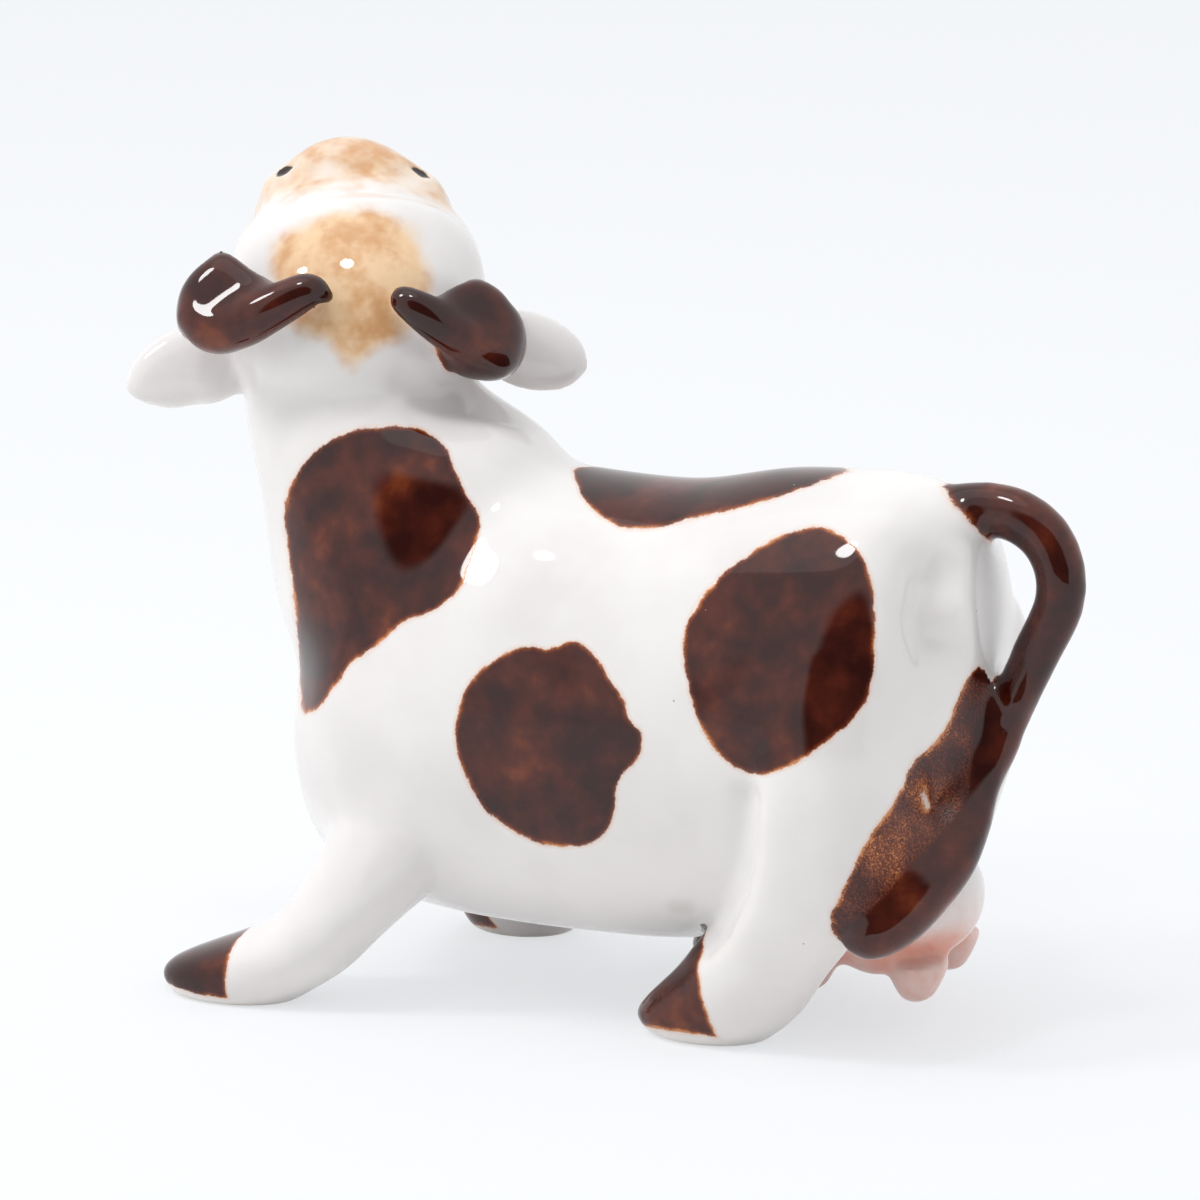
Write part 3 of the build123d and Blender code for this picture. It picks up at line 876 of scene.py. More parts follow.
    def even_shading(self) -> None:
        """Even the normals of the broad forms, where no stroke has shaped them, and of the rolls."""
        broad = ease(*self.broad_softness, self.softness) * (1 - self.touched)
        self.even_normals(self.spread(broad, self.soft_rounds), self.shading_rounds)
        rolls = self.gap(*[coil.node for coil in COILS])
        self.even_normals(ease(self.roll_edge, 0.0, rolls), self.roll_rounds)
        self.normals = unit(self.normals)

    def even_normals(self, weights: np.ndarray, rounds: int) -> None:
        """Even the normals over neighbouring vertices.

        Args:
            weights: Share of the evening that each vertex takes.
            rounds: How many times each vertex takes half of its neighbours' mean, by its weight.
        """
        share = 0.5 * weights[:, None]
        count = self.sum_beside(np.ones(len(weights)))[:, None]
        for _ in range(rounds):
            beside = np.stack([self.sum_beside(way) for way in self.normals.T], axis=1)
            self.normals += share * (beside / count - self.normals)

    def labels(self) -> np.ndarray:
        """The piece that each face belongs to, as an index into the clay pieces."""
        even = np.stack([self.spread(column, self.label_rounds) for column in self.gaps.T], axis=1)
        return even[self.faces].sum(1).argmin(1)


@dataclass(frozen=True)
class Toe:
    """A brown toe cap: its leg and the slanting edge of the paint, in mm."""

    leg: str
    edge: float
    slope: float
    hem: float
    top: float


TOES = (
    Toe("foreleg_left", edge=-24.6, slope=0.0, hem=0.55, top=6.0),
    Toe("foreleg_right", edge=-12.6, slope=-0.8, hem=0.45, top=7.0),
    Toe("hind_leg_left", edge=9.4, slope=-0.25, hem=0.95, top=7.6),
    Toe("hind_leg_right", edge=6.4, slope=-0.25, hem=0.55, top=6.0),
)


@dataclass(frozen=True)
class FaceSpot:
    """A dark spot painted on both sides of the face, in the head's own frame, in mm."""

    name: str
    place: tuple[float, float, float]
    long_way: tuple[float, float, float]
    half_width: float
    half_length: float


FACE_SPOTS = (
    FaceSpot("nostril", (4.6, 10.9, 2.9), (-0.65, 0.75, 0.0), 0.46, 0.78),
    FaceSpot("eye", (7.1, 6.8, -0.9), (0.0, 0.2, 1.0), 0.75, 1.05),
)


@dataclass(frozen=True)
class MouthLine:
    """The painted line of the mouth, in the head's own frame, in mm."""

    height: float = -3.3
    curl: float = 0.04
    half_width: float = 4.6
    front: float = 9.0


MOUTH = MouthLine()


@dataclass
class GlazePaint:
    """Where each glaze lies on the skin, as values on its vertices. Distances in mm."""

    skin: ClaySkin
    camera: PhotoCamera
    clip: float = 3.0
    past_spine: float = 2.5
    joint_rounds: int = 6
    udder_gap: float = 0.5
    brush_turn: float = 0.45
    leg_gap: float = 0.6
    hem_wave: float = 0.25
    thin_edge: tuple[float, float] = (-0.1, 0.2)
    turned_away: float = 0.1
    muzzle_wash: float = 0.22
    wash_rounds: int = 6
    spot_reach: float = 3.0
    face_reach: float = 8.0
    udder_edge: tuple[float, float] = (0.6, -0.2)
    udder_heights: tuple[float, float] = (12.0, 6.5)
    udder_share: float = 0.55
    teat_edge: tuple[float, float] = (2.6, 0.0)
    teat_share: float = 0.6
    pink_rounds: int = 8

    def values(self) -> dict[str, np.ndarray]:
        """Everything that is painted on the skin.

        Returns:
            One value a vertex for each name that the finish reads.
        """
        return {
            "brown": self.brown(), "thin": self.thin(), "tan": self.tan(), "dark": self.dark(),
            "pink": self.pink(), "mouth": self.mouth(),
        }

    def brown(self) -> np.ndarray:
        """How far inside the brown glaze each vertex lies.

        Returns:
            One depth a vertex, above zero inside.
        """
        skin = self.skin
        painted = skin.gap(*[piece.node for piece in CLAY_PIECES if piece.brown])
        plain = skin.gap(*[piece.node for piece in CLAY_PIECES if not piece.brown])
        depth = skin.spread((plain - painted) / 2, self.joint_rounds)
        for patch in PATCHES:
            depth = np.maximum(depth, self.patch_depth(patch))
        on_thigh = (skin.gap("udder") > self.udder_gap) & (skin.places[:, 0] > HOME[0] + self.past_spine)
        squarely = self.camera.facing(skin.places, skin.normals) - self.brush_turn
        brush = np.minimum(self.seen_depth(BRUSH_OUTLINE), self.clip * squarely)
        depth = np.maximum(depth, np.where(on_thigh, brush, -self.clip))
        return np.clip(np.maximum(depth, self.toes()), -self.clip, self.clip)

    def patch_depth(self, patch: Patch) -> np.ndarray:
        """How far inside a patch each vertex lies, on the side or sides that it is painted on.

        Args:
            patch: The patch.

        Returns:
            One depth a vertex, above zero inside.
        """
        from_spine = self.skin.places[:, 0] - HOME[0]
        near = self.seen_depth(patch.outline)
        far = self.seen_depth(patch.outline, mirrored=True)
        log.info("painted the %s patch, %s", patch.name, patch.side.value)
        if patch.side is Side.BOTH:
            return np.where(from_spine > 0, near, far)
        if patch.side is Side.RIGHT:
            return np.where(from_spine < self.past_spine, far, -self.clip)
        return np.where(from_spine > -self.past_spine, near, -self.clip)

    def seen_depth(self, outline: Outline, mirrored: bool = False) -> np.ndarray:
        """How far inside an outline the vertices that face the camera lie.

        Args:
            outline: The outline in the photograph.
            mirrored: Whether the cow is mirrored about its spine first.

        Returns:
            Distance in mm, above zero inside, well below zero where the surface faces away.
        """
        places, normals = self.skin.places.copy(), self.skin.normals.copy()
        if mirrored:
            places[:, 0] = 2 * HOME[0] - places[:, 0]
            normals[:, 0] = -normals[:, 0]
        scale = self.camera.seen_width / self.camera.image
        depth = outline.depth(self.camera.project(places)) * scale
        return np.where(self.camera.facing(places, normals) > 0, depth, -self.clip)

    def toes(self) -> np.ndarray:
        """How far inside the brown toe caps each vertex lies.

        Returns:
            One depth a vertex, above zero inside.
        """
        x, y, z = (self.skin.places - HOME).T
        depth = np.full(len(x), -self.clip)
        for toe in TOES:
            cap = np.minimum(toe.edge + toe.slope * z - y, z - toe.hem - self.hem_wave * np.cos(x))
            on_toe = (self.skin.gap(toe.leg) < self.leg_gap) & (z < toe.top)
            depth = np.maximum(depth, np.where(on_toe, cap, -self.clip))
        return depth

    def thin(self) -> np.ndarray:
        """Share by which the brown glaze is thin and speckled."""
        return self.skin.spread(ease(*self.thin_edge, self.seen_depth(THIN_OUTLINE)), 1)

    def tan(self) -> np.ndarray:
        """How far inside the tan washes each vertex lies.

        Returns:
            One depth a vertex, above zero inside.
        """
        own = HEAD.to_own(self.skin.places)
        hidden = self.camera.facing(self.skin.places, self.skin.normals) < self.turned_away
        muzzle = np.where(hidden, own[:, 1] - HEAD.muzzle_edge, -self.clip)
        muzzle = np.minimum(np.maximum(muzzle, self.seen_depth(MUZZLE_OUTLINE)), self.muzzle_wash)
        depth = self.skin.spread(np.maximum(muzzle, self.seen_depth(FOREHEAD_OUTLINE)), self.wash_rounds)
        on_head = np.linalg.norm(own, axis=1) < HEAD.reach
        return np.clip(np.where(on_head, depth, -self.clip), -self.clip, self.clip)

    def dark(self) -> np.ndarray:
        """How far inside the dark nostrils and eyes each vertex lies.

        Returns:
            One depth a vertex, above zero inside.
        """
        depth = np.full(len(self.skin.places), -self.clip)
        for spot in FACE_SPOTS:
            for side in (1, -1):
                mirror = np.array([side, 1, 1])
                offset = self.skin.places - HEAD.to_frame(np.array(spot.place) * mirror)
                middle = np.linalg.norm(offset, axis=1).argmin()
                outward = unit(self.skin.normals[middle])
                offset = self.skin.places - self.skin.places[middle]
                long_way = np.array(spot.long_way) * mirror @ HEAD.ways
                long_way = unit(long_way - long_way @ outward * outward)
                across = offset @ np.cross(outward, long_way) / spot.half_width
                along = offset @ long_way / spot.half_length
                near = np.linalg.norm(offset, axis=1) < self.spot_reach
                inside = (1 - np.hypot(across, along)) * spot.half_width
                on_side = near & (self.skin.normals @ outward > 0)
                depth = np.maximum(depth, np.where(on_side, inside, -self.clip))
            log.info("painted the %s on both sides", spot.name)
        return depth

    def mouth(self) -> np.ndarray:
        """Distance above or below the line of the mouth.

        Returns:
            One distance a vertex, below zero under the line.
        """
        x, y, z = HEAD.to_own(self.skin.places).T
        line = z - MOUTH.height - MOUTH.curl * x**2
        past_end = np.maximum(np.abs(x) - MOUTH.half_width, 0)
        on_front = (y > MOUTH.front) & (np.abs(x) < self.face_reach) & (np.abs(z) < self.face_reach)
        return np.where(on_front, np.hypot(line, past_end) * np.where(line < 0, -1, 1), self.clip)

    def pink(self) -> np.ndarray:
        """Share of the pink wash on the udder and teats.

        Returns:
            One share a vertex.
        """
        teats = self.skin.gap(*[piece.node for piece in CLAY_PIECES if piece.node.startswith("teat")])
        low_down = ease(*self.udder_heights, self.skin.places[:, 2])
        share = ease(*self.udder_edge, self.skin.gap("udder")) * low_down * self.udder_share
        share += ease(*self.teat_edge, teats) * self.teat_share
        return self.skin.spread(np.clip(share, 0, 1), self.pink_rounds)


@dataclass(frozen=True)
class Noise:
    """Cloudy noise about zero: how many clouds a millimetre holds, and how strong they are."""

    scale: float
    strength: float = 1.0
    detail: float = 3.0
    roughness: float = 0.5


class NodeSheet:
    """The node tree of a material or of the world, and short ways to add to it."""

    def __init__(self, owner: bpy.types.Material | bpy.types.World) -> None:
        """Start with an empty tree.

        Args:
            owner: The material or the world.
        """
        owner.use_nodes = True
        self.tree = owner.node_tree
        self.tree.nodes.clear()

    @cached_property
    def place(self) -> Socket:
        """The place on the object.

        Returns:
            The socket that holds it, in mm.
        """
        coordinates = self.add("ShaderNodeTexCoord")
        scaled = self.add("ShaderNodeVectorMath", {"operation": "SCALE"}, Scale=1 / MM)
        self.plug(scaled.inputs[0], coordinates.outputs["Object"])
        return scaled.outputs[0]

    def add(self, kind: str, settings: dict[str, object] | None = None, **inputs: object) -> bpy.types.Node:
        """Add a node.

        Args:
            kind: The node's type.
            settings: The node's own properties.
            inputs: Values or sockets for its inputs, by name with _ for a space.

        Returns:
            The new node.
        """
        node = self.tree.nodes.new(kind)
        for key, value in (settings or {}).items():
            setattr(node, key, value)
        for key, value in inputs.items():
            self.plug(node.inputs[key.replace("_", " ")], value)
        return node

    def plug(self, socket: Socket, value: object) -> None:
        """Link a socket to another, or set its value.

        Args:
            socket: An input of a node.
            value: The output to link it to, or its value.
        """
        if isinstance(value, Socket):
            self.tree.links.new(value, socket)
        else:
            socket.default_value = value

    def math(self, operation: str, first: object, second: object = 0.0, clamp: bool = False) -> Socket:
        """A step of arithmetic on two values.

        Args:
            operation: Blender's name of the step.
            first: The first value or socket.
            second: The second one.
            clamp: Whether the result is held between 0 and 1.

        Returns:
            The result's socket.
        """
        node = self.add("ShaderNodeMath", {"operation": operation, "use_clamp": clamp})
        self.plug(node.inputs[0], first)
        self.plug(node.inputs[1], second)
        return node.outputs[0]

    def plus(self, first: object, second: object, clamp: bool = False) -> Socket:
        """The sum of two values, held between 0 and 1 if asked."""
        return self.math("ADD", first, second, clamp)

    def times(self, first: object, second: object) -> Socket:
        """The product of two values."""
        return self.math("MULTIPLY", first, second)

    def step(self, value: object, low: float, high: float, start: float = 0.0, end: float = 1.0) -> Socket:
        """A smooth step of a value.

        Args:
            value: The value or socket.
            low: Where the step begins.
            high: Where it ends.
            start: The result at low.
            end: The result at high.

        Returns:
            The result's socket.
        """
        node = self.add("ShaderNodeMapRange", {"interpolation_type": "SMOOTHSTEP"})
        keys = ("Value", "From Min", "From Max", "To Min", "To Max")
        for key, number in zip(keys, (value, low, high, start, end)):
            self.plug(node.inputs[key], number)
        return node.outputs["Result"]

    def mix(self, share: object, first: object, second: object) -> Socket:
        """A colour between two colours.

        Args:
            share: Share of the second colour.
            first: The first colour or socket.
            second: The second one.

        Returns:
            The colour's socket.
        """
        node = self.add("ShaderNodeMix", {"data_type": "RGBA"})
        for number, value in ((0, share), (6, first), (7, second)):
            self.plug(node.inputs[number], value)
        return node.outputs[2]

    def ramp(self, share: object, stops: tuple[tuple[float, Colour], ...]) -> Socket:
        """A colour from a row of colours.

        Args:
            share: Place along the row.
            stops: Each colour, from 0 to 255, and its place along the row.

        Returns:
            The colour's socket.
        """
        node = self.add("ShaderNodeValToRGB")
        elements = node.color_ramp.elements
        while len(elements) < len(stops):
            elements.new(0.5)
        for element, (place, colour) in zip(elements, stops):
            element.position = place
            element.color = linear(*colour)
        self.plug(node.inputs[0], share)
        return node.outputs[0]

    def noise(self, noise: Noise) -> Socket:
        """Cloudy noise about zero.

        Args:
            noise: The kind of noise.

        Returns:
            The noise's socket, from about minus to plus half of its strength.
        """
        node = self.add("ShaderNodeTexNoise", Vector=self.place, Scale=noise.scale, Detail=noise.detail)
        node.inputs["Roughness"].default_value = noise.roughness
        return self.times(self.math("SUBTRACT", node.outputs[0], 0.5), noise.strength)

    def value(self, name: str) -> Socket:
        """A value painted on the mesh."""
        return self.add("ShaderNodeAttribute", {"attribute_name": name}).outputs["Fac"]

    def show(self, shader: Socket, output: str = "ShaderNodeOutputMaterial") -> None:
        """Show a shader on the surface, or through the output that is named."""
        self.add(output, Surface=shader)


@dataclass(frozen=True)
class BrownGlaze:
    """The brown glaze: thin and orange at its edge, deep red-brown where it pools."""

    tones: tuple[tuple[float, Colour], ...] = (
        (0.0, (204, 132, 78)), (0.16, (160, 88, 42)), (0.34, (116, 54, 25)), (0.58, (82, 30, 16)),
        (0.82, (60, 18, 9)), (1.0, (46, 11, 6)),
    )
    halo: Colour = (230, 190, 164)
    halo_edge: tuple[float, float] = (-0.3, -0.02)
    halo_share: float = 0.4
    wander: Noise = Noise(0.9, 0.5, 5.0, 0.6)
    frill: Noise = Noise(7.0, 0.24, 4.0, 0.75)
    clouds: Noise = Noise(0.24, 1.45, 2.0, 0.45)
    streaks: Noise = Noise(0.62, 0.85)
    grain: Noise = Noise(7.0, 1.5, 2.0, 0.6)
    edge: tuple[float, float] = (-0.05, 0.07)
    pool_edge: tuple[float, float] = (-0.05, 0.42)
    pool_depth: tuple[float, float] = (0.08, 0.76)
    thinning: float = 0.24

    def lay(self, sheet: NodeSheet, under: Socket) -> tuple[Socket, Socket]:
        """Lay the glaze over a colour.

        Args:
            sheet: The material.
            under: Colour below.

        Returns:
            The new colour and the glaze's cover.
        """
        thin = sheet.value("thin")
        ragged = sheet.plus(sheet.noise(self.wander), sheet.noise(self.frill))
        inside = sheet.plus(sheet.value("brown"), ragged)
        cover = sheet.step(inside, *self.edge)
        depth = sheet.step(inside, *self.pool_edge, *self.pool_depth)
        depth = sheet.plus(depth, sheet.noise(self.clouds))
        depth = sheet.plus(depth, sheet.noise(self.streaks))
        depth = sheet.math("SUBTRACT", depth, sheet.times(thin, self.thinning))
        depth = sheet.plus(depth, sheet.times(sheet.noise(self.grain), thin), clamp=True)
        halo = sheet.times(sheet.step(inside, *self.halo_edge), self.halo_share)
        under = sheet.mix(halo, under, linear(*self.halo))
        return sheet.mix(cover, under, sheet.ramp(depth, self.tones)), cover


@dataclass(frozen=True)
class WashGlaze:
    """A pale, cloudy wash of colour under the clear glaze."""

    attribute: str
    pale: Colour
    deep: Colour
    soft: float
    clouds: Noise = Noise(0.32)
    dabs: Noise = Noise(0.96, 0.6)
    unevenness: float = 3.0
    cover: float = 0.95
    tone_edge: tuple[float, float] = (-0.2, 0.25)

    def lay(self, sheet: NodeSheet, under: Socket) -> Socket:
        """Lay the wash over a colour.

        Args:
            sheet: The material.
            under: Colour below.

        Returns:
            The new colour.
        """
        clouds = sheet.noise(self.clouds)
        uneven = sheet.times(clouds, self.unevenness * self.soft)
        inside = sheet.plus(sheet.value(self.attribute), uneven)
        cover = sheet.step(inside, -self.soft, self.soft, 0.0, self.cover)
        tone = sheet.step(sheet.plus(clouds, sheet.noise(self.dabs)), *self.tone_edge)
        return sheet.mix(cover, under, sheet.mix(tone, linear(*self.pale), linear(*self.deep)))


@dataclass(frozen=True)
class Specks:
    """A few fine specks: their colour, and how many cells that may hold one a millimetre has."""

    tone: Colour
    scale: float
    chance: float = 0.80
    edge: tuple[float, float] = (0.045, 0.018)
    strength: float = 0.6

    def lay(self, sheet: NodeSheet, under: Socket) -> Socket:
        """Scatter the specks over a colour.

        Args:
            sheet: The material.
            under: Colour below.

        Returns:
            The speckled colour.
        """
        cells = sheet.add("ShaderNodeTexVoronoi", Vector=sheet.place, Scale=self.scale)
        draw = sheet.add("ShaderNodeSeparateColor", Color=cells.outputs["Color"]).outputs[0]
        chosen = sheet.math("GREATER_THAN", draw, self.chance)
        dot = sheet.step(cells.outputs["Distance"], *self.edge)
        return sheet.mix(sheet.times(sheet.times(chosen, dot), self.strength), under, linear(*self.tone))


TAN_WASH = WashGlaze("tan", (240, 204, 160), (214, 158, 104), 0.7)
BROWN_GLAZE = BrownGlaze()
DARK_SPECKS = Specks((120, 110, 105), 0.45)
PALE_SPECKS = Specks((226, 206, 198), 0.62)


@dataclass(frozen=True)
class CeramicFinish:
    """The finish of every piece: clear gloss over white clay, washes and brown glaze."""

    name: str
    white: Colour = (240, 237, 235)
    shade: Colour = (231, 227, 226)
    shading: Noise = Noise(0.12)
    shade_edge: tuple[float, float] = (-0.2, 0.2)
    pink: Colour = (226, 160, 142)
    pink_noise: Noise = Noise(1.1, 0.35, 4.0)
    pink_edge: tuple[float, float] = (0.08, 1.0)
    blush: Colour = (204, 104, 88)
    blush_noise: Noise = Noise(3.6, 1.0, 5.0, 0.75)
    blush_edge: tuple[float, float] = (0.14, 0.26)
    blush_share: float = 0.55
    dark: Colour = (38, 22, 20)
    dark_noise: Noise = Noise(3.0, 0.25)
    dark_edge: tuple[float, float] = (-0.08, 0.10)
    lip: Colour = (122, 66, 42)
    lip_noise: Noise = Noise(1.4, 0.12)
    lip_edge: tuple[float, float] = (0.24, 0.08)
    clay: Colour = (214, 190, 138)
    hem_noise: Noise = Noise(0.8, 0.18)
    hem_edge: tuple[float, float] = (0.22, 0.06)
    gloss: float = 0.045
    gloss_noise: Noise = Noise(1.5, 0.03)
    thin_roughness: float = 0.16
    bare_roughness: float = 0.5
    refraction: float = 1.5
    waves: Noise = Noise(0.3, 0.04, 0.0)
    grain: Noise = Noise(7.0, 0.05, 2.0, 0.6)
    brown_height: float = 0.008

    def build(self) -> bpy.types.Material:
        """Make the material.

        Returns:
            The material.
        """
        material = bpy.data.materials.new(self.name)
        sheet = NodeSheet(material)
        shade = sheet.step(sheet.noise(self.shading), *self.shade_edge)
        colour = sheet.mix(shade, linear(*self.white), linear(*self.shade))
        colour = TAN_WASH.lay(sheet, DARK_SPECKS.lay(sheet, colour))
        colour, cover = BROWN_GLAZE.lay(sheet, self.flush(sheet, colour))
        colour = sheet.mix(cover, colour, PALE_SPECKS.lay(sheet, colour))
        spot = sheet.plus(sheet.value("dark"), sheet.noise(self.dark_noise))
        colour = sheet.mix(sheet.step(spot, *self.dark_edge), colour, linear(*self.dark))
        mouth = sheet.plus(sheet.math("ABSOLUTE", sheet.value("mouth")), sheet.noise(self.lip_noise))
        colour = sheet.mix(sheet.step(mouth, *self.lip_edge), colour, linear(*self.lip))
        height = sheet.add("ShaderNodeSeparateXYZ", Vector=sheet.place).outputs["Z"]
        bare = sheet.step(sheet.plus(height, sheet.noise(self.hem_noise)), *self.hem_edge)
        colour = sheet.mix(bare, colour, linear(*self.clay))
        rough = sheet.plus(sheet.noise(self.gloss_noise), self.gloss)
        rough = sheet.plus(rough, sheet.times(sheet.value("thin"), self.thin_roughness))
        rough = sheet.plus(rough, sheet.times(bare, self.bare_roughness), clamp=True)
        normal = self.relief(sheet, cover)
        shader = sheet.add("ShaderNodeBsdfPrincipled", Base_Color=colour, Roughness=rough, Normal=normal)
        shader.inputs["IOR"].default_value = self.refraction
        sheet.show(shader.outputs["BSDF"])
        return material

    def flush(self, sheet: NodeSheet, under: Socket) -> Socket:
        """Lay the pink of the udder and its redder specks over a colour.

        Args:
            sheet: The material.
            under: Colour below.

        Returns:
            The new colour.
        """
        share = sheet.plus(sheet.value("pink"), sheet.noise(self.pink_noise))
        cover = sheet.step(share, *self.pink_edge)
        colour = sheet.mix(cover, under, linear(*self.pink))
        fleck = sheet.step(sheet.noise(self.blush_noise), *self.blush_edge)
        share = sheet.times(sheet.times(fleck, cover), self.blush_share)
        return sheet.mix(share, colour, linear(*self.blush))

    def relief(self, sheet: NodeSheet, cover: Socket) -> Socket:
        """The glaze's slow waves, the brown glaze's raised edge and the grain where it is thin.

        Args:
            sheet: The material.
            cover: Cover of the brown glaze.

        Returns:
            The bent normal.
        """
        grain = sheet.times(sheet.noise(self.grain), sheet.value("thin"))
        height = sheet.plus(sheet.noise(self.waves), grain)
        height = sheet.plus(height, sheet.times(cover, self.brown_height))
        return sheet.add("ShaderNodeBump", Strength=1.0, Distance=MM, Height=height).outputs["Normal"]


@dataclass
class GlazedCow:
    """The whole cow: its skin, split into the pieces of clay, each dressed in its glazes."""

    skin: ClaySkin
    camera: PhotoCamera
    suffix: str = "_glazed"

    def build(self) -> None:
        self.skin.build()
        values = GlazePaint(self.skin, self.camera).values()
        finishes = {slot: CeramicFinish(slot).build() for slot in (WHITE, TAN, BROWN, PINK)}
        labels = self.skin.labels()
        for number, clay in enumerate(CLAY_PIECES):
            piece = self.cut_piece(clay, labels == number, values)
            piece.data.materials.append(finishes[clay.slot])
            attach(piece, "root")
            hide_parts(clay.node)
            log.info("%s: %d faces", piece.name, len(piece.data.polygons))

    def cut_piece(self, clay: ClayPiece, mine: np.ndarray, values: dict[str, np.ndarray]) -> bpy.types.Object:
        """Cut one piece out of the skin and close it where it meets its neighbours.

        Args:
            clay: The piece of clay.
            mine: Which faces of the skin are its own.
            values: Painted values of the whole skin.

        Returns:
            The piece's object.
        """
        faces = self.skin.faces[mine]
        used, corners = np.unique(faces, return_inverse=True)
        corners = corners.reshape(-1, 4)
        places = self.skin.places[used] * MM
        normals = self.skin.normals[used]
        lids, hubs = self.close_rims(corners, places)
        mesh = bpy.data.meshes.new(clay.node + self.suffix)
        mesh.from_pydata(np.concatenate([places, hubs]).tolist(), [], corners.tolist() + lids)
        for name, value in values.items():
            attribute = mesh.attributes.new(name, "FLOAT", "POINT")
            padded = np.concatenate([value[used], np.full(len(hubs), value[used].mean())])
            attribute.data.foreach_set("value", padded.astype(np.float32))
        mesh.shade_smooth()
        shown = normals[corners.reshape(-1)]
        hidden = [np.array(mesh.polygons[len(corners) + index].normal) for index in range(len(lids))]
        hidden = np.repeat(np.array(hidden).reshape(-1, 3), 3, axis=0)
        mesh.normals_split_custom_set(np.concatenate([shown, hidden]).tolist())
        piece = bpy.data.objects.new(mesh.name, mesh)
        bpy.context.scene.collection.objects.link(piece)
        return piece

    def close_rims(self, corners: np.ndarray, places: np.ndarray) -> tuple[list[Triangle], np.ndarray]:
        """Close each open rim of a piece with a lid of triangles, hidden inside its neighbour.

        Args:
            corners: The piece's faces.
            places: Its vertices.

        Returns:
            The lids' triangles and the vertices at their middles.
        """
        ends = {}
        runs = np.concatenate([corners[:, [k, (k + 1) % 4]] for k in range(4)])
        known = set(map(tuple, runs.tolist()))
        for start, end in runs.tolist():
            if (end, start) not in known:
                ends.setdefault(end, []).append(start)
        lids, hubs = [], []
        while ends:
            start = next(iter(ends))
            rim = [start]
            here = self.take_end(ends, start)
            while here != start:
                rim.append(here)
                here = self.take_end(ends, here)
            hub = len(places) + len(hubs)
            hubs.append(places[rim].mean(0))
            lids += [(rim[k], rim[(k + 1) % len(rim)], hub) for k in range(len(rim))]
        return lids, np.array(hubs).reshape(-1, 3)

    @staticmethod
    def take_end(ends: dict[int, list[int]], start: int) -> int:
        """Take the next vertex of a rim out of the table of rim ends.

        Args:
            ends: The vertices that open edges lead to from each vertex.
            start: The vertex to go on from.

        Returns:
            The next vertex.
        """
        found = ends[start].pop()
        if not ends[start]:
            del ends[start]
        return found


@dataclass(frozen=True)
class Lamp:
    """A soft oval lamp that looks at the cow: lengths in mm, strength in watts."""

    name: str
    azimuth: float
    elevation: float
    distance: float
    width: float
    height: float
    watts: float

    def build(self, target: np.ndarray) -> None:
        """Add the lamp to the scene.

        Args:
            target: What the lamp looks at, in mm.
        """
        data = bpy.data.lights.new(self.name, "AREA")
        data.shape = "ELLIPSE"
        data.size = self.width * MM
        data.size_y = self.height * MM
        data.energy = self.watts
        lamp = bpy.data.objects.new(self.name, data)
        stand(lamp, target + direction(self.azimuth, self.elevation) * self.distance, target)


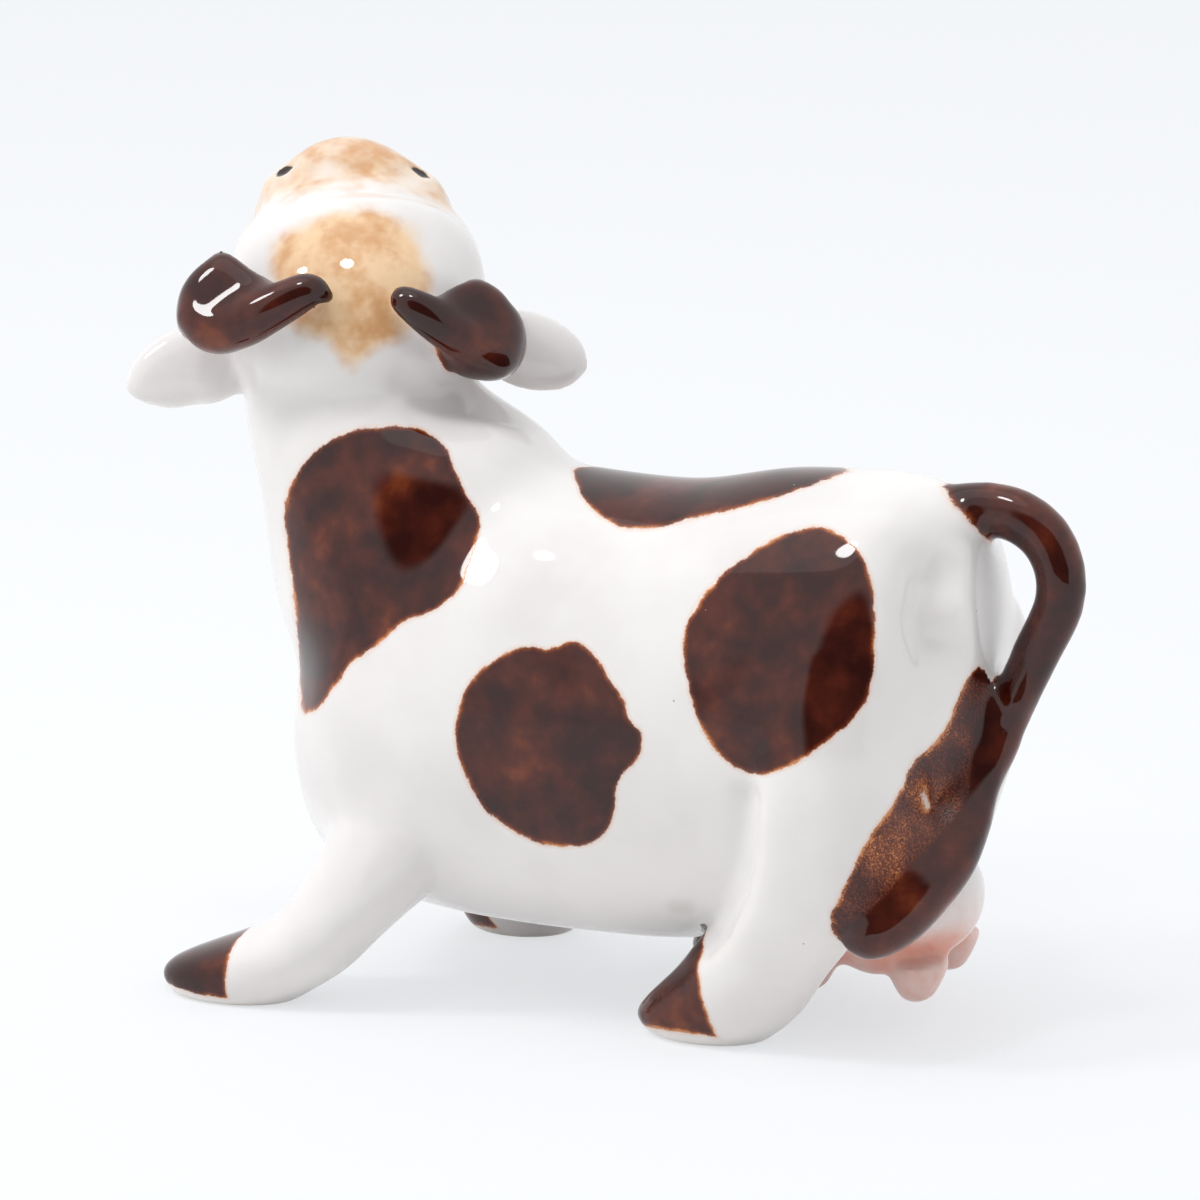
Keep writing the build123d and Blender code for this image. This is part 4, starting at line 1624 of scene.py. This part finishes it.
@dataclass
class Studio:
    """The pale floor, the lamps and the light all round. The floor's size is in metres."""

    floor_size: float = 4.0
    floor_colour: Colour = (242, 242, 242)
    seen_colour: Colour = (146, 147, 148)
    glow_colour: Colour = (248, 250, 253)
    glow: float = 0.67
    room_colour: tuple[float, float, float, float] = (0.98, 0.99, 1.0, 1.0)
    room_edge: tuple[float, float] = (0.78, 0.86)
    room_light: tuple[float, float] = (0.95, 0.10)
    lamps: tuple[Lamp, ...] = (
        Lamp("window", 31.0, 47.0, 420.0, 78.0, 125.0, 0.46),
        Lamp("umbrella", 80.0, 74.0, 420.0, 68.0, 68.0, 0.24),
        Lamp("overhead", 20.0, 78.0, 700.0, 600.0, 600.0, 0.42),
    )

    def build(self, camera: PhotoCamera) -> None:
        """Build the whole studio round the cow.

        Args:
            camera: The camera, which the darker side of the room lies behind.
        """
        for lamp in self.lamps:
            lamp.build(camera.target)
        self.build_world(camera)
        self.build_floor()

    def build_world(self, camera: PhotoCamera) -> None:
        """Make the room: white all round, with the darker room behind the camera.

        Args:
            camera: The camera.
        """
        world = bpy.data.worlds.new("studio_room")
        bpy.context.scene.world = world
        sheet = NodeSheet(world)
        toward = sheet.add("ShaderNodeVectorMath", {"operation": "DOT_PRODUCT"})
        sheet.plug(toward.inputs[0], sheet.add("ShaderNodeTexCoord").outputs["Generated"])
        sheet.plug(toward.inputs[1], tuple(camera.back))
        light = sheet.step(toward.outputs["Value"], *self.room_edge, *self.room_light)
        background = sheet.add("ShaderNodeBackground", Color=self.room_colour, Strength=light)
        sheet.show(background.outputs[0], "ShaderNodeOutputWorld")

    def build_floor(self) -> None:
        """Make the pale floor, which keeps the cow's shadow."""
        bpy.ops.object.select_all(action="DESELECT")
        bpy.ops.mesh.primitive_plane_add(size=self.floor_size, location=(0, 0, 0))
        floor = bpy.context.active_object
        floor.name = "studio_floor"
        material = bpy.data.materials.new("pale_floor")
        sheet = NodeSheet(material)
        rays = sheet.add("ShaderNodeLightPath").outputs
        seen = sheet.math("MAXIMUM", rays["Is Camera Ray"], rays["Is Glossy Ray"])
        seen = sheet.math("MAXIMUM", seen, rays["Is Transmission Ray"])
        colour = sheet.mix(seen, linear(*self.floor_colour), linear(*self.seen_colour))
        diffuse = sheet.add("ShaderNodeBsdfDiffuse", Color=colour)
        strength = sheet.times(seen, self.glow)
        glow = sheet.add("ShaderNodeEmission", Color=linear(*self.glow_colour), Strength=strength)
        both = sheet.add("ShaderNodeAddShader")
        sheet.plug(both.inputs[0], diffuse.outputs[0])
        sheet.plug(both.inputs[1], glow.outputs[0])
        sheet.show(both.outputs[0])
        floor.data.materials.append(material)


def main() -> None:
    """Build the cow and its studio."""
    logging.basicConfig(level=logging.INFO, format="%(name)s: %(message)s")
    bpy.context.scene.view_settings.view_transform = "Standard"
    camera = PhotoCamera()
    camera.build()
    GlazedCow(ClaySkin(camera), camera).build()
    Studio().build(camera)


if __name__ == "__main__":
    main()
